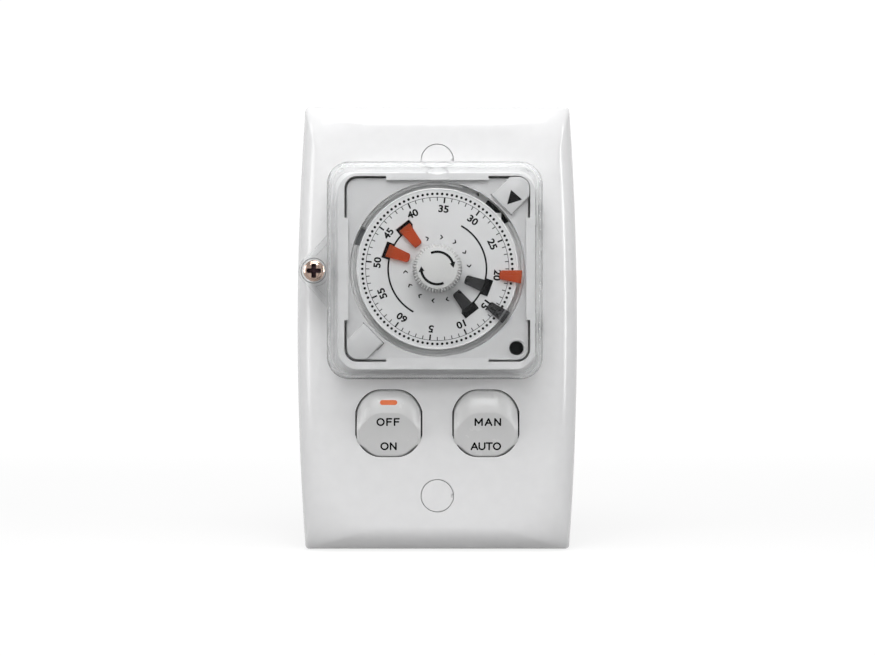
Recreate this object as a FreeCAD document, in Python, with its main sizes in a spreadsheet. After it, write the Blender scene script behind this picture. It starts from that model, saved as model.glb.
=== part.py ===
import FreeCAD, Part
import math
import os
import Sketcher
from FreeCAD import Vector

# A time clock on a wall plate: a dial with tappets behind a hinged clear cover, and two rockers
# below it. X runs to the right, Z up and Y into the wall. The origin is the middle of the
# plate's back. Levels are counted from the wall towards the viewer, so a level is minus Y.

SIZES = {
    # wall plate
    "plate_end": 14.1,
    "plate_side": 3.1,
    "plate_bulge": 2.05,
    "plate_depth": 9.5,
    "plate_wall": 2.2,
    "plate_bevel": 6.5,
    "fixing_gap": 3.34,
    "fixing_hole": 1.9,
    "fixing_floor": 5.0,
    "boss_back": 1.0,
    "boss_wall": 0.75,
    "boss_gap": 0.1,
    "root_depth": 0.2,
    # caps over the fixing holes
    "cap_recess": 4.15,
    "cap_recess_depth": 1.2,
    "cap_ledge": 0.55,
    "cap_clearance": 0.2,
    "cap_skirt": 1.8,
    "cap_skirt_wall": 0.6,
    "cap_skirt_clearance": 0.1,
    "cap_notch": 0.5,
    # timer surround
    "rim_left": 1.65,
    "rim_right": 1.2,
    "rim_up": 0.65,
    "rim_down": 1.85,
    "surround_corner": 5.0,
    "surround_proud": 5.5,
    "panel_margin": 0.85,
    "panel_corner": 3.1,
    "tab_length": 25.3,
    "tab_reach": 1.0,
    "tab_thickness": 0.85,
    "peg_radius": 0.45,
    "peg_inset": 10.95,
    "peg_clearance": 0.05,
    # fascia with the dial's well
    "panel_gap": 0.55,
    "panel_set_back": 1.0,
    "panel_thickness": 1.2,
    "panel_round": 2.6,
    "well_depth": 4.0,
    "well_floor": 1.2,
    "corner_tab_height": 0.9,
    "corner_tab_side": 4.75,
    "corner_tab_depth": 4.1,
    "override_radius": 1.7,
    "override_inset": 2.5,
    "override_length": 4.2,
    "override_slot": 0.6,
    "window_start": 34.0,
    "window_end": 54.0,
    "patch_start": 151.0,
    "patch_end": 163.0,
    "window_inset": 0.3,
    "window_edge": 0.1,
    "finger_room": 0.3,
    "running_clearance": 0.1,
    # timer case
    "well_wall": 0.45,
    "case_wall": 1.6,
    "case_round": 2.0,
    "case_back": 30.0,
    "case_clearance": 0.3,
    "case_ledge": 1.1,
    "ear_reach": 3.9,
    "ear_radius": 2.4,
    "ear_inset": 7.1,
    "ear_thickness": 2.2,
    "ear_boss": 1.0,
    "ear_screw_radius": 1.0,
    "ear_screw_head": 2.0,
    "ear_screw_head_height": 1.2,
    "ear_screw_grip": 1.9,
    # dial
    "dial_radius": 19.9,
    "dial_thickness": 1.8,
    "dial_proud": 0.6,
    "channel_width": 1.75,
    "hub_radius": 3.2,
    "hub_clearance": 0.3,
    "spindle_radius": 1.5,
    "spindle_collar": 2.4,
    "knob_radius": 6.1,
    "knob_height": 6.0,
    "knob_face_radius": 5.1,
    "knob_face_step": 0.4,
    "knob_teeth": 48,
    "knob_tooth_depth": 0.55,
    "knob_tooth_tip": 0.14,
    "knob_crown": 1.5,
    # tappets
    "spare_angle": 15.7,
    "spare_axis": 144.0,
    "spare_tip": 7.3,
    "spare_length": 5.8,
    "set_reach": 4.5,
    "set_on_angle": -5.5,
    "set_off_angle": -35.3,
    "tappet_tip_width": 2.4,
    "tappet_root_width": 3.3,
    "tappet_thickness": 1.0,
    "tappet_foot": 0.8,
    "tappet_foot_depth": 2.6,
    "tappet_leg_depth": 2.7,
    "tappet_clearance": 0.2,
    "slot_width": 1.8,
    "slot_length": 4.2,
    # gear train
    "gear_inset": 6.65,
    "gear_slack": 0.1,
    "gear_thickness": 1.6,
    "gear_gap": 0.8,
    "gear_step": 0.6,
    "dial_teeth": 60,
    "idler_small_teeth": 12,
    "idler_large_teeth": 24,
    "pinion_teeth": 10,
    "axle_radius": 0.8,
    "gear_plate_thickness": 1.2,
    "gear_plate_clearance": 0.1,
    "gear_shake": 0.1,
    "idler_direction": -45.0,
    "idler_phase": 15.0,
    "pinion_phase": 9.0,
    "motor_clearance": 0.38,
    "motor_length": 16.2,
    "motor_shaft": 0.7,
    "motor_shaft_grip": 1.7,
    "motor_shaft_hole": 1.12,
    # trip lever and microswitch
    "lever_inset": 6.5,
    "lever_direction": 56.3,
    "lever_pin": 1.0,
    "lever_thickness": 1.3,
    "lever_lift": 0.3,
    "lever_arm": 2.4,
    "lever_gap": 1.6,
    "lever_nose": 7.5,
    "lever_nose_low": 0.5,
    "lever_nose_high": 1.45,
    "lever_boss": 1.6,
    "lever_travel": 1.2,
    "finger_width": 1.0,
    "finger_length": 5.0,
    "finger_depth": 2.0,
    "microswitch_gap": 0.7,
    "microswitch_height": 4.0,
    "microswitch_button": 0.7,
    "button_drop": 4.0,
    "button_depth": 2.4,
    # clear cover
    "cover_wall": 1.3,
    "cover_height": 14.4,
    "cover_lift": 0.1,
    "cover_gap": 0.9,
    "cover_hinge_gap": 0.15,
    "cover_corner": 5.5,
    "cover_edge": 1.6,
    "cover_face": 1.5,
    "hinge_radius": 1.1,
    "hinge_pin": 0.55,
    "hinge_rise": 1.8,
    "hinge_pitch": 26.8,
    "knuckle_length": 2.4,
    "knuckle_gap": 0.1,
    "hinge_relief": 5.4,
    "ear_notch_height": 2.2,
    "ear_notch_depth": 0.65,
    # cover screw and its lug
    "lug_reach": 3.6,
    "lug_drop": 0.5,
    "lug_spread": 10.2,
    "lug_flange": 2.0,
    "lug_radius": 3.8,
    "lug_end": 2.2,
    "lug_end_half": 3.1,
    "lug_height": 7.6,
    "lug_rib": 2.1,
    "lug_rib_height": 5.4,
    "lug_recess": 3.0,
    "lug_recess_depth": 2.6,
    "screw_head": 2.6,
    "screw_head_height": 1.8,
    "screw_slot_reach": 1.55,
    "screw_slot_half": 0.34,
    "screw_slot_depth": 1.1,
    "screw_shank": 1.35,
    "screw_clearance": 0.4,
    "screw_grip": 4.5,
    "washer_thickness": 0.5,
    "pillar_radius": 3.1,
    "pillar_back": 3.4,
    # rockers
    "rocker_gap": 6.46,
    "rocker_pivot": 10.0,
    "rocker_side_gap": 0.5,
    "rocker_sweep": 12.7,
    "rocker_rounding": 6.2,
    "rocker_shoulder": 8.5,
    "rocker_clearance": 0.4,
    "rocker_face": 11.34,
    "rocker_back": 6.5,
    "rocker_wall": 1.55,
    "rocker_side": 2.8,
    "rocker_hollow_height": 11.0,
    "rocker_tilt": 14.4,
    "cheek_thickness": 1.7,
    "cheek_inset": 0.1,
    "cheek_half": 2.4,
    "trunnion_radius": 1.1,
    "trunnion_length": 1.4,
    "leg_half": 1.9,
    "leg_back": 3.0,
    "leg_bore": 1.25,
    "spring_length": 2.6,
    "spring_wire": 0.3,
    "plunger_radius": 1.15,
    "plunger_reach": 6.3,
    "plunger_tip": 1.0,
    "indicator_length": 4.3,
    "indicator_width": 1.3,
    "indicator_angle": 38.9,
    "indicator_proud": 0.05,
    "indicator_depth": 0.5,
    # switch mechanisms
    "switch_width": 19.2,
    "switch_gap": 5.1,
    "switch_height": 19.8,
    "switch_wall": 1.1,
    "switch_back": 20.0,
    "switch_rim": 2.3,
    "switch_cheek": 15.0,
    "stake_stagger": 4.8,
    "stake_radius": 1.1,
    "stake_head": 1.8,
    "stake_head_height": 0.9,
    "stake_ear": 1.6,
    "stake_ear_radius": 2.3,
    "stake_clearance": 0.1,
    "contact_level": 6.9,
    "contact_thickness": 0.7,
    "contact_half_length": 5.6,
    "contact_half_width": 1.8,
    "contact_bead": 0.6,
    "contact_stud": 1.0,
    "contact_stud_height": 0.6,
    "contact_stud_offset": 4.6,
    "contact_tilt": 5.0,
    "contact_rest_gap": 0.1,
    # terminals
    "tag_width": 2.8,
    "tag_pitch": 4.9,
    "tag_thickness": 1.6,
    "tag_clearance": 0.05,
    "block_width": 4.4,
    "block_length": 6.0,
    "wire_hole": 1.1,
    "terminal_screw": 0.9,
    "terminal_screw_head": 1.4,
    "terminal_screw_head_height": 1.1,
    "timer_tag_spread": 8.0,
    "timer_tag_drop": 12.0,
    "timer_tag_inside": 5.0,
}

doc = FreeCAD.newDocument("TimeClock")
sheet = doc.addObject("Spreadsheet::Sheet", "Sizes")
for row, (alias, number) in enumerate(SIZES.items(), start=1):
    sheet.set(f"A{row}", alias)
    sheet.set(f"B{row}", str(number))
    sheet.setAlias(f"B{row}", alias)
doc.recompute()


class Dim:
    """A size with the sheet expression that it comes from."""

    def __init__(self, value, text):
        self.value = value
        self.text = text

    def __add__(self, other):
        other = dim(other)
        return Dim(self.value + other.value, f"({self.text} + {other.text})")

    def __sub__(self, other):
        other = dim(other)
        return Dim(self.value - other.value, f"({self.text} - {other.text})")

    def __mul__(self, other):
        other = dim(other)
        return Dim(self.value * other.value, f"({self.text} * {other.text})")

    def __truediv__(self, other):
        other = dim(other)
        return Dim(self.value / other.value, f"({self.text} / {other.text})")

    def __rsub__(self, other):
        return dim(other) - self

    def __neg__(self):
        return self * -1

    __radd__ = __add__
    __rmul__ = __mul__


def dim(size):
    """Any number as a size."""
    return size if isinstance(size, Dim) else Dim(float(size), f"({float(size)})")


def size(name):
    """A size from the sheet."""
    return Dim(float(sheet.get(name)), f"Sizes.{name}")


def cosine(angle):
    """The cosine of an angle in degrees."""
    angle = dim(angle)
    return Dim(math.cos(math.radians(angle.value)), f"cos({angle.text} * 1deg)")


def sine(angle):
    """The sine of an angle in degrees."""
    angle = dim(angle)
    return Dim(math.sin(math.radians(angle.value)), f"sin({angle.text} * 1deg)")


def turned(x, z, angle):
    """A point of a flat drawing turned about the drawing's origin."""
    return x * cosine(angle) - z * sine(angle), x * sine(angle) + z * cosine(angle)


def tie(sketch, kind, geometry, point, distance):
    """Hold one point of a sketch at a distance from the sketch's origin."""
    index = sketch.addConstraint(Sketcher.Constraint(kind, -1, 1, geometry, point, distance.value))
    sketch.setExpression(f"Constraints[{index}]", distance.text)


def tie_radius(sketch, geometry, radius):
    index = sketch.addConstraint(Sketcher.Constraint("Radius", geometry, radius.value))
    sketch.setExpression(f"Constraints[{index}]", radius.text)


def circle(x, z, radius):
    """A loop for a sketch: a circle."""
    x, z, radius = dim(x), dim(z), dim(radius)

    def draw(sketch):
        centre = Vector(x.value, z.value, 0)
        index = sketch.addGeometry(Part.Circle(centre, Vector(0, 0, 1), radius.value))
        tie(sketch, "DistanceX", index, 3, x)
        tie(sketch, "DistanceY", index, 3, z)
        tie_radius(sketch, index, radius)

    return draw


def arc_between(start, end, radius):
    """The shorter arc that runs counter-clockwise from start to end."""
    chord = end - start
    rise = radius - math.sqrt(radius ** 2 - (chord.Length / 2) ** 2)
    outward = Vector(chord.y, -chord.x, 0).normalize()
    return Part.Arc(start, (start + end) / 2 + outward * rise, end)


def outline(*corners):
    """A closed loop, counter-clockwise. A corner is (x, z), or (x, z, radius) where an arc
    leads from it to the next one."""
    corners = [tuple(dim(number) for number in corner) for corner in corners]
    count = len(corners)

    def draw(sketch):
        first = sketch.GeometryCount
        points = [Vector(corner[0].value, corner[1].value, 0) for corner in corners]
        for index, corner in enumerate(corners):
            start, end = points[index], points[(index + 1) % count]
            if len(corner) == 3:
                sketch.addGeometry(arc_between(start, end, corner[2].value))
            else:
                sketch.addGeometry(Part.LineSegment(start, end))
        for index, corner in enumerate(corners):
            following = first + (index + 1) % count
            sketch.addConstraint(Sketcher.Constraint("Coincident", first + index, 2, following, 1))
            tie(sketch, "DistanceX", first + index, 1, corner[0])
            tie(sketch, "DistanceY", first + index, 1, corner[1])
            if len(corner) == 3:
                tie_radius(sketch, first + index, corner[2])

    return draw


def box(left, right, low, high):
    """A loop: a rectangle."""
    return outline((left, low), (right, low), (right, high), (left, high))


def rounded(left, right, low, high, radius):
    """A loop: a rectangle with rounded corners."""
    return outline(
        (left + radius, low), (right - radius, low, radius),
        (right, low + radius), (right, high - radius, radius),
        (right - radius, high), (left + radius, high, radius),
        (left, high - radius), (left, low + radius, radius),
    )


def square(half, radius):
    """A loop: a rounded square about the drawing's origin."""
    return rounded(-half, half, -half, half, radius)


class Piece:
    """One separate piece: a body with its features, placed in the part's frame."""

    def __init__(self, name, x=0, level=0, z=0, axis=None, angle=0):
        self.body = doc.addObject("PartDesign::Body", name)
        self.body.Label = name
        self.roles = {part.Role: part for part in self.body.Origin.OriginFeatures}
        self.body.setExpression("Placement.Base.x", dim(x).text)
        self.body.setExpression("Placement.Base.y", (-dim(level)).text)
        self.body.setExpression("Placement.Base.z", dim(z).text)
        if axis is not None:
            self.body.Placement.Rotation = FreeCAD.Rotation(axis, dim(angle).value)
            self.body.setExpression("Placement.Rotation.Angle", dim(angle).text)
        pieces.append(self.body)

    def sketch(self, name, plane, level, loops):
        sketch = self.body.newObject("Sketcher::SketchObject", name + "Sketch")
        sketch.AttachmentSupport = (self.roles[plane], [""])
        sketch.MapMode = "FlatFace"
        sketch.setExpression("AttachmentOffset.Base.z", dim(level).text)
        for draw in loops:
            draw(sketch)
        return sketch

    def feature(self, kind, name, sketch, length):
        feature = self.body.newObject("PartDesign::" + kind, name)
        feature.Profile = sketch
        feature.setExpression("Length", dim(length).text)
        return feature

    def pad(self, name, low, high, *loops, plane="XZ_Plane"):
        """Material between two levels."""
        sketch = self.sketch(name, plane, low, loops)
        return self.feature("Pad", name, sketch, dim(high) - low)

    def pocket(self, name, low, high, *loops, plane="XZ_Plane"):
        """A cut between two levels."""
        sketch = self.sketch(name, plane, high, loops)
        return self.feature("Pocket", name, sketch, dim(high) - low)

    def fillet(self, name, radius, chosen):
        """Round the edges that chosen() picks."""
        doc.recompute()
        base = self.body.Tip
        numbered = enumerate(base.Shape.Edges, start=1)
        feature = self.body.newObject("PartDesign::Fillet", name)
        feature.Base = (base, [f"Edge{index}" for index, edge in numbered if chosen(edge)])
        feature.setExpression("Radius", dim(radius).text)
        return feature

    def teeth(self, name, low, high, count, inner, tip, inner_half, tip_half):
        """A ring of teeth about the body's Y axis, the first one towards +X."""
        tooth = self.pad(name, low, high, outline(
            (inner, -inner_half), (tip, -tip_half), (tip, tip_half), (inner, inner_half)))
        ring = self.body.newObject("PartDesign::PolarPattern", name + "Ring")
        ring.Originals = [tooth]
        ring.Axis = (self.roles["Y_Axis"], [""])
        ring.Angle = 360
        ring.setExpression("Occurrences", count.text)
        self.body.Tip = ring


def at_level(level):
    """Picks the edges that lie whole at one level."""
    y = -level.value

    def chosen(edge):
        return all(abs(corner.Point.y - y) < 1e-4 for corner in edge.Vertexes)

    return chosen


pieces = []
FRONTWARD = Vector(0, -1, 0)
SIDEWAYS = Vector(1, 0, 0)

# An end's arc as a share of the half circle, a little flatter or sharper than a full one
FLATTER = 1.02
SHARPER = 0.96

# A gear tooth in modules: how far its root and tip lie from the pitch circle, its half widths
# there, and how deep it sits in the core
TOOTH_ROOT = 1.2
TOOTH_TIP = 0.8
TOOTH_ROOT_HALF = 0.9
TOOTH_TIP_HALF = 0.26
TOOTH_SUNK = 0.4

# Levels and places that several pieces share
plate_front = size("plate_depth")
plate_inside = plate_front - size("plate_wall")
boss_top = plate_inside + size("root_depth")
well_radius = size("dial_radius") + size("channel_width")
case_half = well_radius + size("well_wall")
opening_half = case_half + size("panel_margin")
surround_left = opening_half + size("rim_left")
surround_right = opening_half + size("rim_right")
surround_up = opening_half + size("rim_up")
surround_down = opening_half + size("rim_down")
surround_front = plate_front + size("surround_proud")
peg_spread = opening_half - size("peg_inset")
boss_radius = size("cap_recess") + size("boss_wall")
timer_room = case_half * 2 + size("case_clearance") + size("boss_gap")
fixing_pitch = boss_radius * 2 + timer_room + size("rocker_gap") + size("switch_height") + size("fixing_gap")
fixing_half = fixing_pitch / 2
timer_z = fixing_half - boss_radius - timer_room + case_half
rocker_z = fixing_half - boss_radius - timer_room - size("rocker_gap") - size("switch_height") / 2
rocker_pitch = size("switch_width") + size("switch_gap")
rocker_half = size("switch_width") / 2 - size("switch_wall") - size("rocker_side_gap")
panel_front = surround_front - size("panel_set_back")
panel_back = panel_front - size("panel_thickness")
panel_half = opening_half - size("panel_gap")
well_level = panel_front - size("well_depth")
fascia_back = well_level - size("well_floor")
dial_front = panel_front + size("dial_proud")
dial_back = dial_front - size("dial_thickness")
cover_back = plate_front + size("cover_lift")
cover_front = cover_back + size("cover_height")
cover_left = -(surround_left + size("cover_gap") + size("cover_wall"))
cover_right = surround_right + size("cover_hinge_gap") + size("cover_wall")
cover_low = -(surround_down + size("cover_gap") + size("cover_wall"))
cover_high = surround_up + size("cover_gap") + size("cover_wall")
hinge_x = surround_right + size("running_clearance") + size("hinge_radius")
hinge_level = plate_front + size("hinge_rise")
screw_x = cover_left - size("lug_reach")
screw_z = -size("lug_drop")
rocker_level = plate_front - size("rocker_pivot")
switch_tags = [size("tag_pitch"), dim(0)]
rocker_places = {"left": -rocker_pitch / 2, "right": rocker_pitch / 2}
gear_front = fascia_back - size("gear_gap")
gear_back = gear_front - size("gear_thickness")
idler_front = gear_back - size("gear_step")
idler_back = idler_front - size("gear_thickness")
gear_plate_front = idler_back - size("gear_gap")
gear_plate_back = gear_plate_front - size("gear_plate_thickness")
gear_module = (well_radius - size("gear_inset")) * 2 / size("dial_teeth")
half_module = gear_module / 2
idler_distance = half_module * (size("dial_teeth") + size("idler_small_teeth")) + size("gear_slack")
pinion_distance = half_module * (size("idler_large_teeth") + size("pinion_teeth")) + size("gear_slack")
spare_axes = (size("spare_axis"), size("spare_axis") + 180)
spare_angles = [axis + turn for axis in spare_axes for turn in (size("spare_angle"), -size("spare_angle"))]
timer_tags = [(size("timer_tag_spread") * way, -size("timer_tag_drop")) for way in (-1, 1)]
lever_pivot = turned(well_radius - size("lever_inset"), 0, size("lever_direction"))
lever_reach = case_half - size("case_wall") - size("lever_gap") - lever_pivot[1]
ear_x = case_half + size("ear_reach")
ear_spread = case_half - size("ear_inset")
ear_front = plate_inside - size("ear_boss")
stake_level = plate_inside - size("stake_ear")


def barrel(piece, kind, name, x, axis, z, margin):
    """A rocker's barrel about its pivot line, as material or as a cut, grown by a margin."""
    half = rocker_half + margin
    flat = rocker_half - size("rocker_rounding")
    edge = axis + size("rocker_pivot") + margin
    sweep = axis + size("rocker_sweep") + margin
    shoulder = size("rocker_shoulder") + margin
    loop = outline((x - half, axis), (x + half, axis), (x + half, edge, shoulder), (x + flat, sweep),
                   (x - flat, sweep, shoulder), (x - half, edge))
    section = piece.sketch(name, "XY_Plane", z, [loop])
    ends = [Vector((x + reach).value, axis.value, 0) for reach in (-half, half)]
    line = section.addGeometry(Part.LineSegment(*ends), True)
    for point, reach in enumerate((-half, half), start=1):
        tie(section, "DistanceX", line, point, x + reach)
        tie(section, "DistanceY", line, point, axis)
    feature = piece.body.newObject("PartDesign::" + kind, name)
    feature.Profile = section
    feature.ReferenceAxis = (section, ["Axis0"])
    feature.Angle = 360


def wall_plate():
    """The moulded plate: a hollow shell, its bosses and its openings."""
    plate = Piece("wall_plate")
    half_height = fixing_half + size("plate_end")
    half_width = size("plate_side") - screw_x
    bulge = size("plate_bulge")
    wall = size("plate_wall")

    def side_radius(height):
        return (height * height + bulge * bulge) / (2 * bulge)

    def plate_outline(inset):
        width, height = half_width - inset, half_height - inset
        radius = side_radius(height)
        return outline((-width, -height), (width, -height, radius),
                       (width, height), (-width, height, radius))

    plate.pad("Block", 0, plate_front, plate_outline(0))
    plate.fillet("FrontBevel", size("plate_bevel"), at_level(plate_front))
    plate.pocket("Hollow", 0, plate_inside, plate_outline(wall))
    plate.fillet("HollowBevel", size("plate_bevel") - wall, at_level(plate_inside))

    fixings = [-fixing_half, fixing_half]
    plate.pad("FixingBosses", size("boss_back"), boss_top,
              *[circle(0, z, boss_radius) for z in fixings])
    plate.pocket("CapRecesses", plate_front - size("cap_recess_depth"), plate_front,
                 *[circle(0, z, size("cap_recess")) for z in fixings])
    plate.pocket("HeadRecesses", size("fixing_floor"), plate_front,
                 *[circle(0, z, size("cap_recess") - size("cap_ledge")) for z in fixings])
    plate.pocket("FixingHoles", 0, plate_front,
                 *[circle(0, z, size("fixing_hole")) for z in fixings])

    opening = case_half + size("case_clearance")
    corner = size("case_round") + size("case_clearance")
    plate.pocket("TimerOpening", size("fixing_floor"), plate_front,
                 rounded(-opening, opening, timer_z - opening, timer_z + opening, corner))
    pegs = [(x, timer_z + z) for x in peg_places() for z in (-peg_spread, peg_spread)]
    plate.pocket("PegHoles", plate_inside, plate_front,
                 *[circle(x, z, size("peg_radius") + size("peg_clearance")) for x, z in pegs])

    ears = [(x, timer_z + z) for x in (-ear_x, ear_x) for z in (-ear_spread, ear_spread)]
    plate.pad("EarBosses", ear_front, boss_top,
              *[circle(x, z, size("ear_radius")) for x, z in ears])
    plate.pocket("EarScrewHoles", ear_front, ear_front + size("ear_screw_grip") + size("running_clearance"),
                 *[circle(x, z, size("ear_screw_radius") + size("peg_clearance")) for x, z in ears])

    plate.pad("ScrewPillar", size("pillar_back"), boss_top,
              circle(screw_x, timer_z + screw_z, size("pillar_radius")))
    plate.pocket("ScrewHole", 0, plate_front,
                 circle(screw_x, timer_z + screw_z, size("screw_shank") + size("screw_clearance")))

    for name, x in rocker_places.items():
        barrel(plate, "Groove", "RockerOpening" + name, x, -rocker_level, rocker_z, size("rocker_clearance"))
        stakes = [(x + ear_x, rocker_z + ear_z) for ear_x, ear_z in stake_places(name)]
        plate.pad("Stakes" + name, stake_level - size("stake_head_height"), boss_top,
                  *[circle(*place, size("stake_radius")) for place in stakes])
        plate.pad("StakeHeads" + name, stake_level - size("stake_head_height"), stake_level,
                  *[circle(*place, size("stake_head")) for place in stakes])


def stake_places(side):
    """The two stakes of a switch body, counted from its middle: one outside, one between the two."""
    outward = -1 if side == "left" else 1
    outer = (size("switch_width") / 2 + size("stake_ear_radius")) * outward
    inner = rocker_pitch / 2 * -outward
    return [(outer, dim(0)), (inner, size("stake_stagger") * -outward)]


def peg_places():
    """The middle of the surround's rim, left and right."""
    return (-(opening_half + surround_left) / 2, (opening_half + surround_right) / 2)


def screw_caps():
    """Flat caps with a skirt and a notch to prise them out by."""
    radius = size("cap_recess") - size("cap_clearance")
    seat = plate_front - size("cap_recess_depth")
    skirt = size("cap_recess") - size("cap_ledge") - size("cap_skirt_clearance")
    half_notch = size("cap_notch")
    for name, z in (("top", fixing_half), ("bottom", -fixing_half)):
        cap = Piece("screw_cap_" + name, z=z)
        cap.pad("Disc", seat, plate_front - size("peg_clearance"), circle(0, 0, radius))
        cap.pad("Skirt", seat - size("cap_skirt"), seat,
                circle(0, 0, skirt), circle(0, 0, skirt - size("cap_skirt_wall")))
        cap.pocket("Notch", plate_front - half_notch, plate_front,
                   box(radius - half_notch, radius + half_notch, -half_notch, half_notch))


def timer_surround():
    """The square frame round the timer, with mid-side tabs, pegs and hinge ears."""
    frame = Piece("timer_surround", z=timer_z)
    frame.pad("Rim", plate_front, surround_front,
              rounded(-surround_left, surround_right, -surround_down, surround_up,
                      size("surround_corner")),
              square(opening_half, size("panel_corner")))
    half_tab = size("tab_length") / 2
    inner = opening_half - size("tab_reach")
    outer = opening_half + size("root_depth")
    frame.pad("Tabs", surround_front - size("tab_thickness"), surround_front,
              box(-half_tab, half_tab, inner, outer), box(-half_tab, half_tab, -outer, -inner),
              box(inner, outer, -half_tab, half_tab), box(-outer, -inner, -half_tab, half_tab))
    frame.pocket("CapNotch", plate_front, surround_front,
                 circle(0, fixing_half - timer_z, size("cap_recess")))
    frame.pad("Pegs", plate_inside, plate_front + size("root_depth"),
              *[circle(x, z, size("peg_radius"))
                for x in peg_places() for z in (-peg_spread, peg_spread)])
    for name, middle in hinge_middles(-1).items():
        start = middle - size("knuckle_length") / 2
        end = middle + size("knuckle_length") / 2
        radius = size("hinge_radius")
        root_x = (opening_half + surround_right) / 2
        frame.pad("Ear" + name, start, end,
                  box(root_x, hinge_x, -hinge_level - radius, -hinge_level + radius),
                  plane="XY_Plane")
        frame.pad("EarEnd" + name, start, end, circle(hinge_x, -hinge_level, radius), plane="XY_Plane")
        frame.pocket("EarBore" + name, start, end, circle(hinge_x, -hinge_level, size("hinge_pin")),
                     plane="XY_Plane")


def hinge_middles(side):
    """The middles of the hinge knuckles along Z: the frame's ears (-1) or the cover's (+1)."""
    shift = (size("knuckle_length") + size("knuckle_gap")) / 2
    far = size("hinge_pitch") / 2 + shift * side
    return {"Top": far, "Bottom": -far}


def hinge_pins():
    """Steel pins, held in the frame's ears and running in the cover's knuckles."""
    reach = size("knuckle_length") + size("knuckle_gap") / 2
    for name, sign in (("top", 1), ("bottom", -1)):
        middle = size("hinge_pitch") / 2 * sign
        pin = Piece("hinge_pin_" + name, x=hinge_x, level=hinge_level, z=timer_z)
        pin.pad("Pin", middle - reach, middle + reach, circle(0, 0, size("hinge_pin")), plane="XY_Plane")


def clear_cover():
    """The transparent cover: a hollow box with knuckles on its right and a screw lug on its left."""
    cover = Piece("clear_cover", z=timer_z)
    wall = size("cover_wall")
    inner_corner = size("cover_corner") - wall
    cover.pad("Shell", cover_back, cover_front,
              rounded(cover_left, cover_right, cover_low, cover_high, size("cover_corner")))
    cover.fillet("FrontEdge", size("cover_edge"), at_level(cover_front))
    cover.pocket("Inside", cover_back, cover_front - size("cover_face"),
                 rounded(cover_left + wall, cover_right - wall, cover_low + wall, cover_high - wall,
                         inner_corner))
    clearance = size("running_clearance")
    relief_x = cover_right - size("hinge_relief")
    cover.pocket("HingeRelief", cover_back, hinge_level + clearance,
                 box(relief_x, cover_right + wall, cover_low - wall, cover_high + wall))
    notch_top = hinge_level + size("ear_notch_height")
    notch_x = cover_right - wall - size("ear_notch_depth")
    half_ear = size("knuckle_length") / 2 + clearance
    for name, middle in hinge_middles(-1).items():
        cover.pocket("EarNotch" + name, hinge_level, notch_top,
                     box(notch_x, cover_right + wall, middle - half_ear, middle + half_ear))
    for name, middle in hinge_middles(1).items():
        start = middle - size("knuckle_length") / 2
        end = middle + size("knuckle_length") / 2
        cover.pad("Knuckle" + name, start, end,
                  circle(hinge_x, -hinge_level, size("hinge_radius")), plane="XY_Plane")
        cover.pocket("KnuckleBore" + name, start, end,
                     circle(hinge_x, -hinge_level, size("hinge_pin") + size("peg_clearance")),
                     plane="XY_Plane")

    root_x = cover_left + wall / 2
    far_x = screw_x - size("lug_end")
    far_half = size("lug_end_half")
    spread = size("lug_spread")
    cover.pad("LugFlange", cover_back, cover_back + size("lug_flange"),
              outline((far_x, screw_z - far_half), (root_x, screw_z - spread),
                      (root_x, screw_z + spread), (far_x, screw_z + far_half)))
    rib = size("lug_rib")
    cover.pad("LugRibs", cover_back, cover_back + size("lug_rib_height"),
              outline((far_x, screw_z + far_half - rib), (root_x, screw_z + spread - rib),
                      (root_x, screw_z + spread), (far_x, screw_z + far_half)),
              outline((far_x, screw_z - far_half), (root_x, screw_z - spread),
                      (root_x, screw_z - spread + rib), (far_x, screw_z - far_half + rib)))
    lug_front = cover_back + size("lug_height")
    cover.pad("LugBoss", cover_back, lug_front, circle(screw_x, screw_z, size("lug_radius")))
    cover.pocket("LugRecess", lug_front - size("lug_recess_depth"), lug_front,
                 circle(screw_x, screw_z, size("lug_recess")))
    cover.pocket("LugHole", cover_back, lug_front,
                 circle(screw_x, screw_z, size("screw_shank") + size("screw_clearance")))


def cover_screw():
    """The screw that holds the cover shut, and the washer under its head."""
    washer_back = cover_back + size("lug_height") - size("lug_recess_depth")
    washer_front = washer_back + size("washer_thickness")
    washer = Piece("screw_washer", x=screw_x, z=timer_z + screw_z)
    washer.pad("Ring", washer_back, washer_front, circle(0, 0, size("screw_head")),
               circle(0, 0, size("screw_shank") + size("peg_clearance")))
    screw = Piece("cover_screw", x=screw_x, z=timer_z + screw_z)
    head_front = washer_front + size("screw_head_height")
    screw.pad("Head", washer_front, head_front, circle(0, 0, size("screw_head")))
    screw.pad("Shank", plate_front - size("screw_grip"), washer_front, circle(0, 0, size("screw_shank")))
    arm, half = size("screw_slot_reach"), size("screw_slot_half")
    for name, loop in (("Slot", box(-arm, arm, -half, half)), ("CrossSlot", box(-half, half, -arm, arm))):
        screw.pocket(name, head_front - size("screw_slot_depth"), head_front, loop)


def window(start, end):
    """A loop: an opening in the well's floor under the dial's rim, between two angles."""
    inner = size("dial_radius") + size("window_inset")
    outer = well_radius - size("window_edge")
    return outline(turned(inner, 0, start), (*turned(outer, 0, start), outer),
                   turned(outer, 0, end), turned(inner, 0, end))


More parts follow.
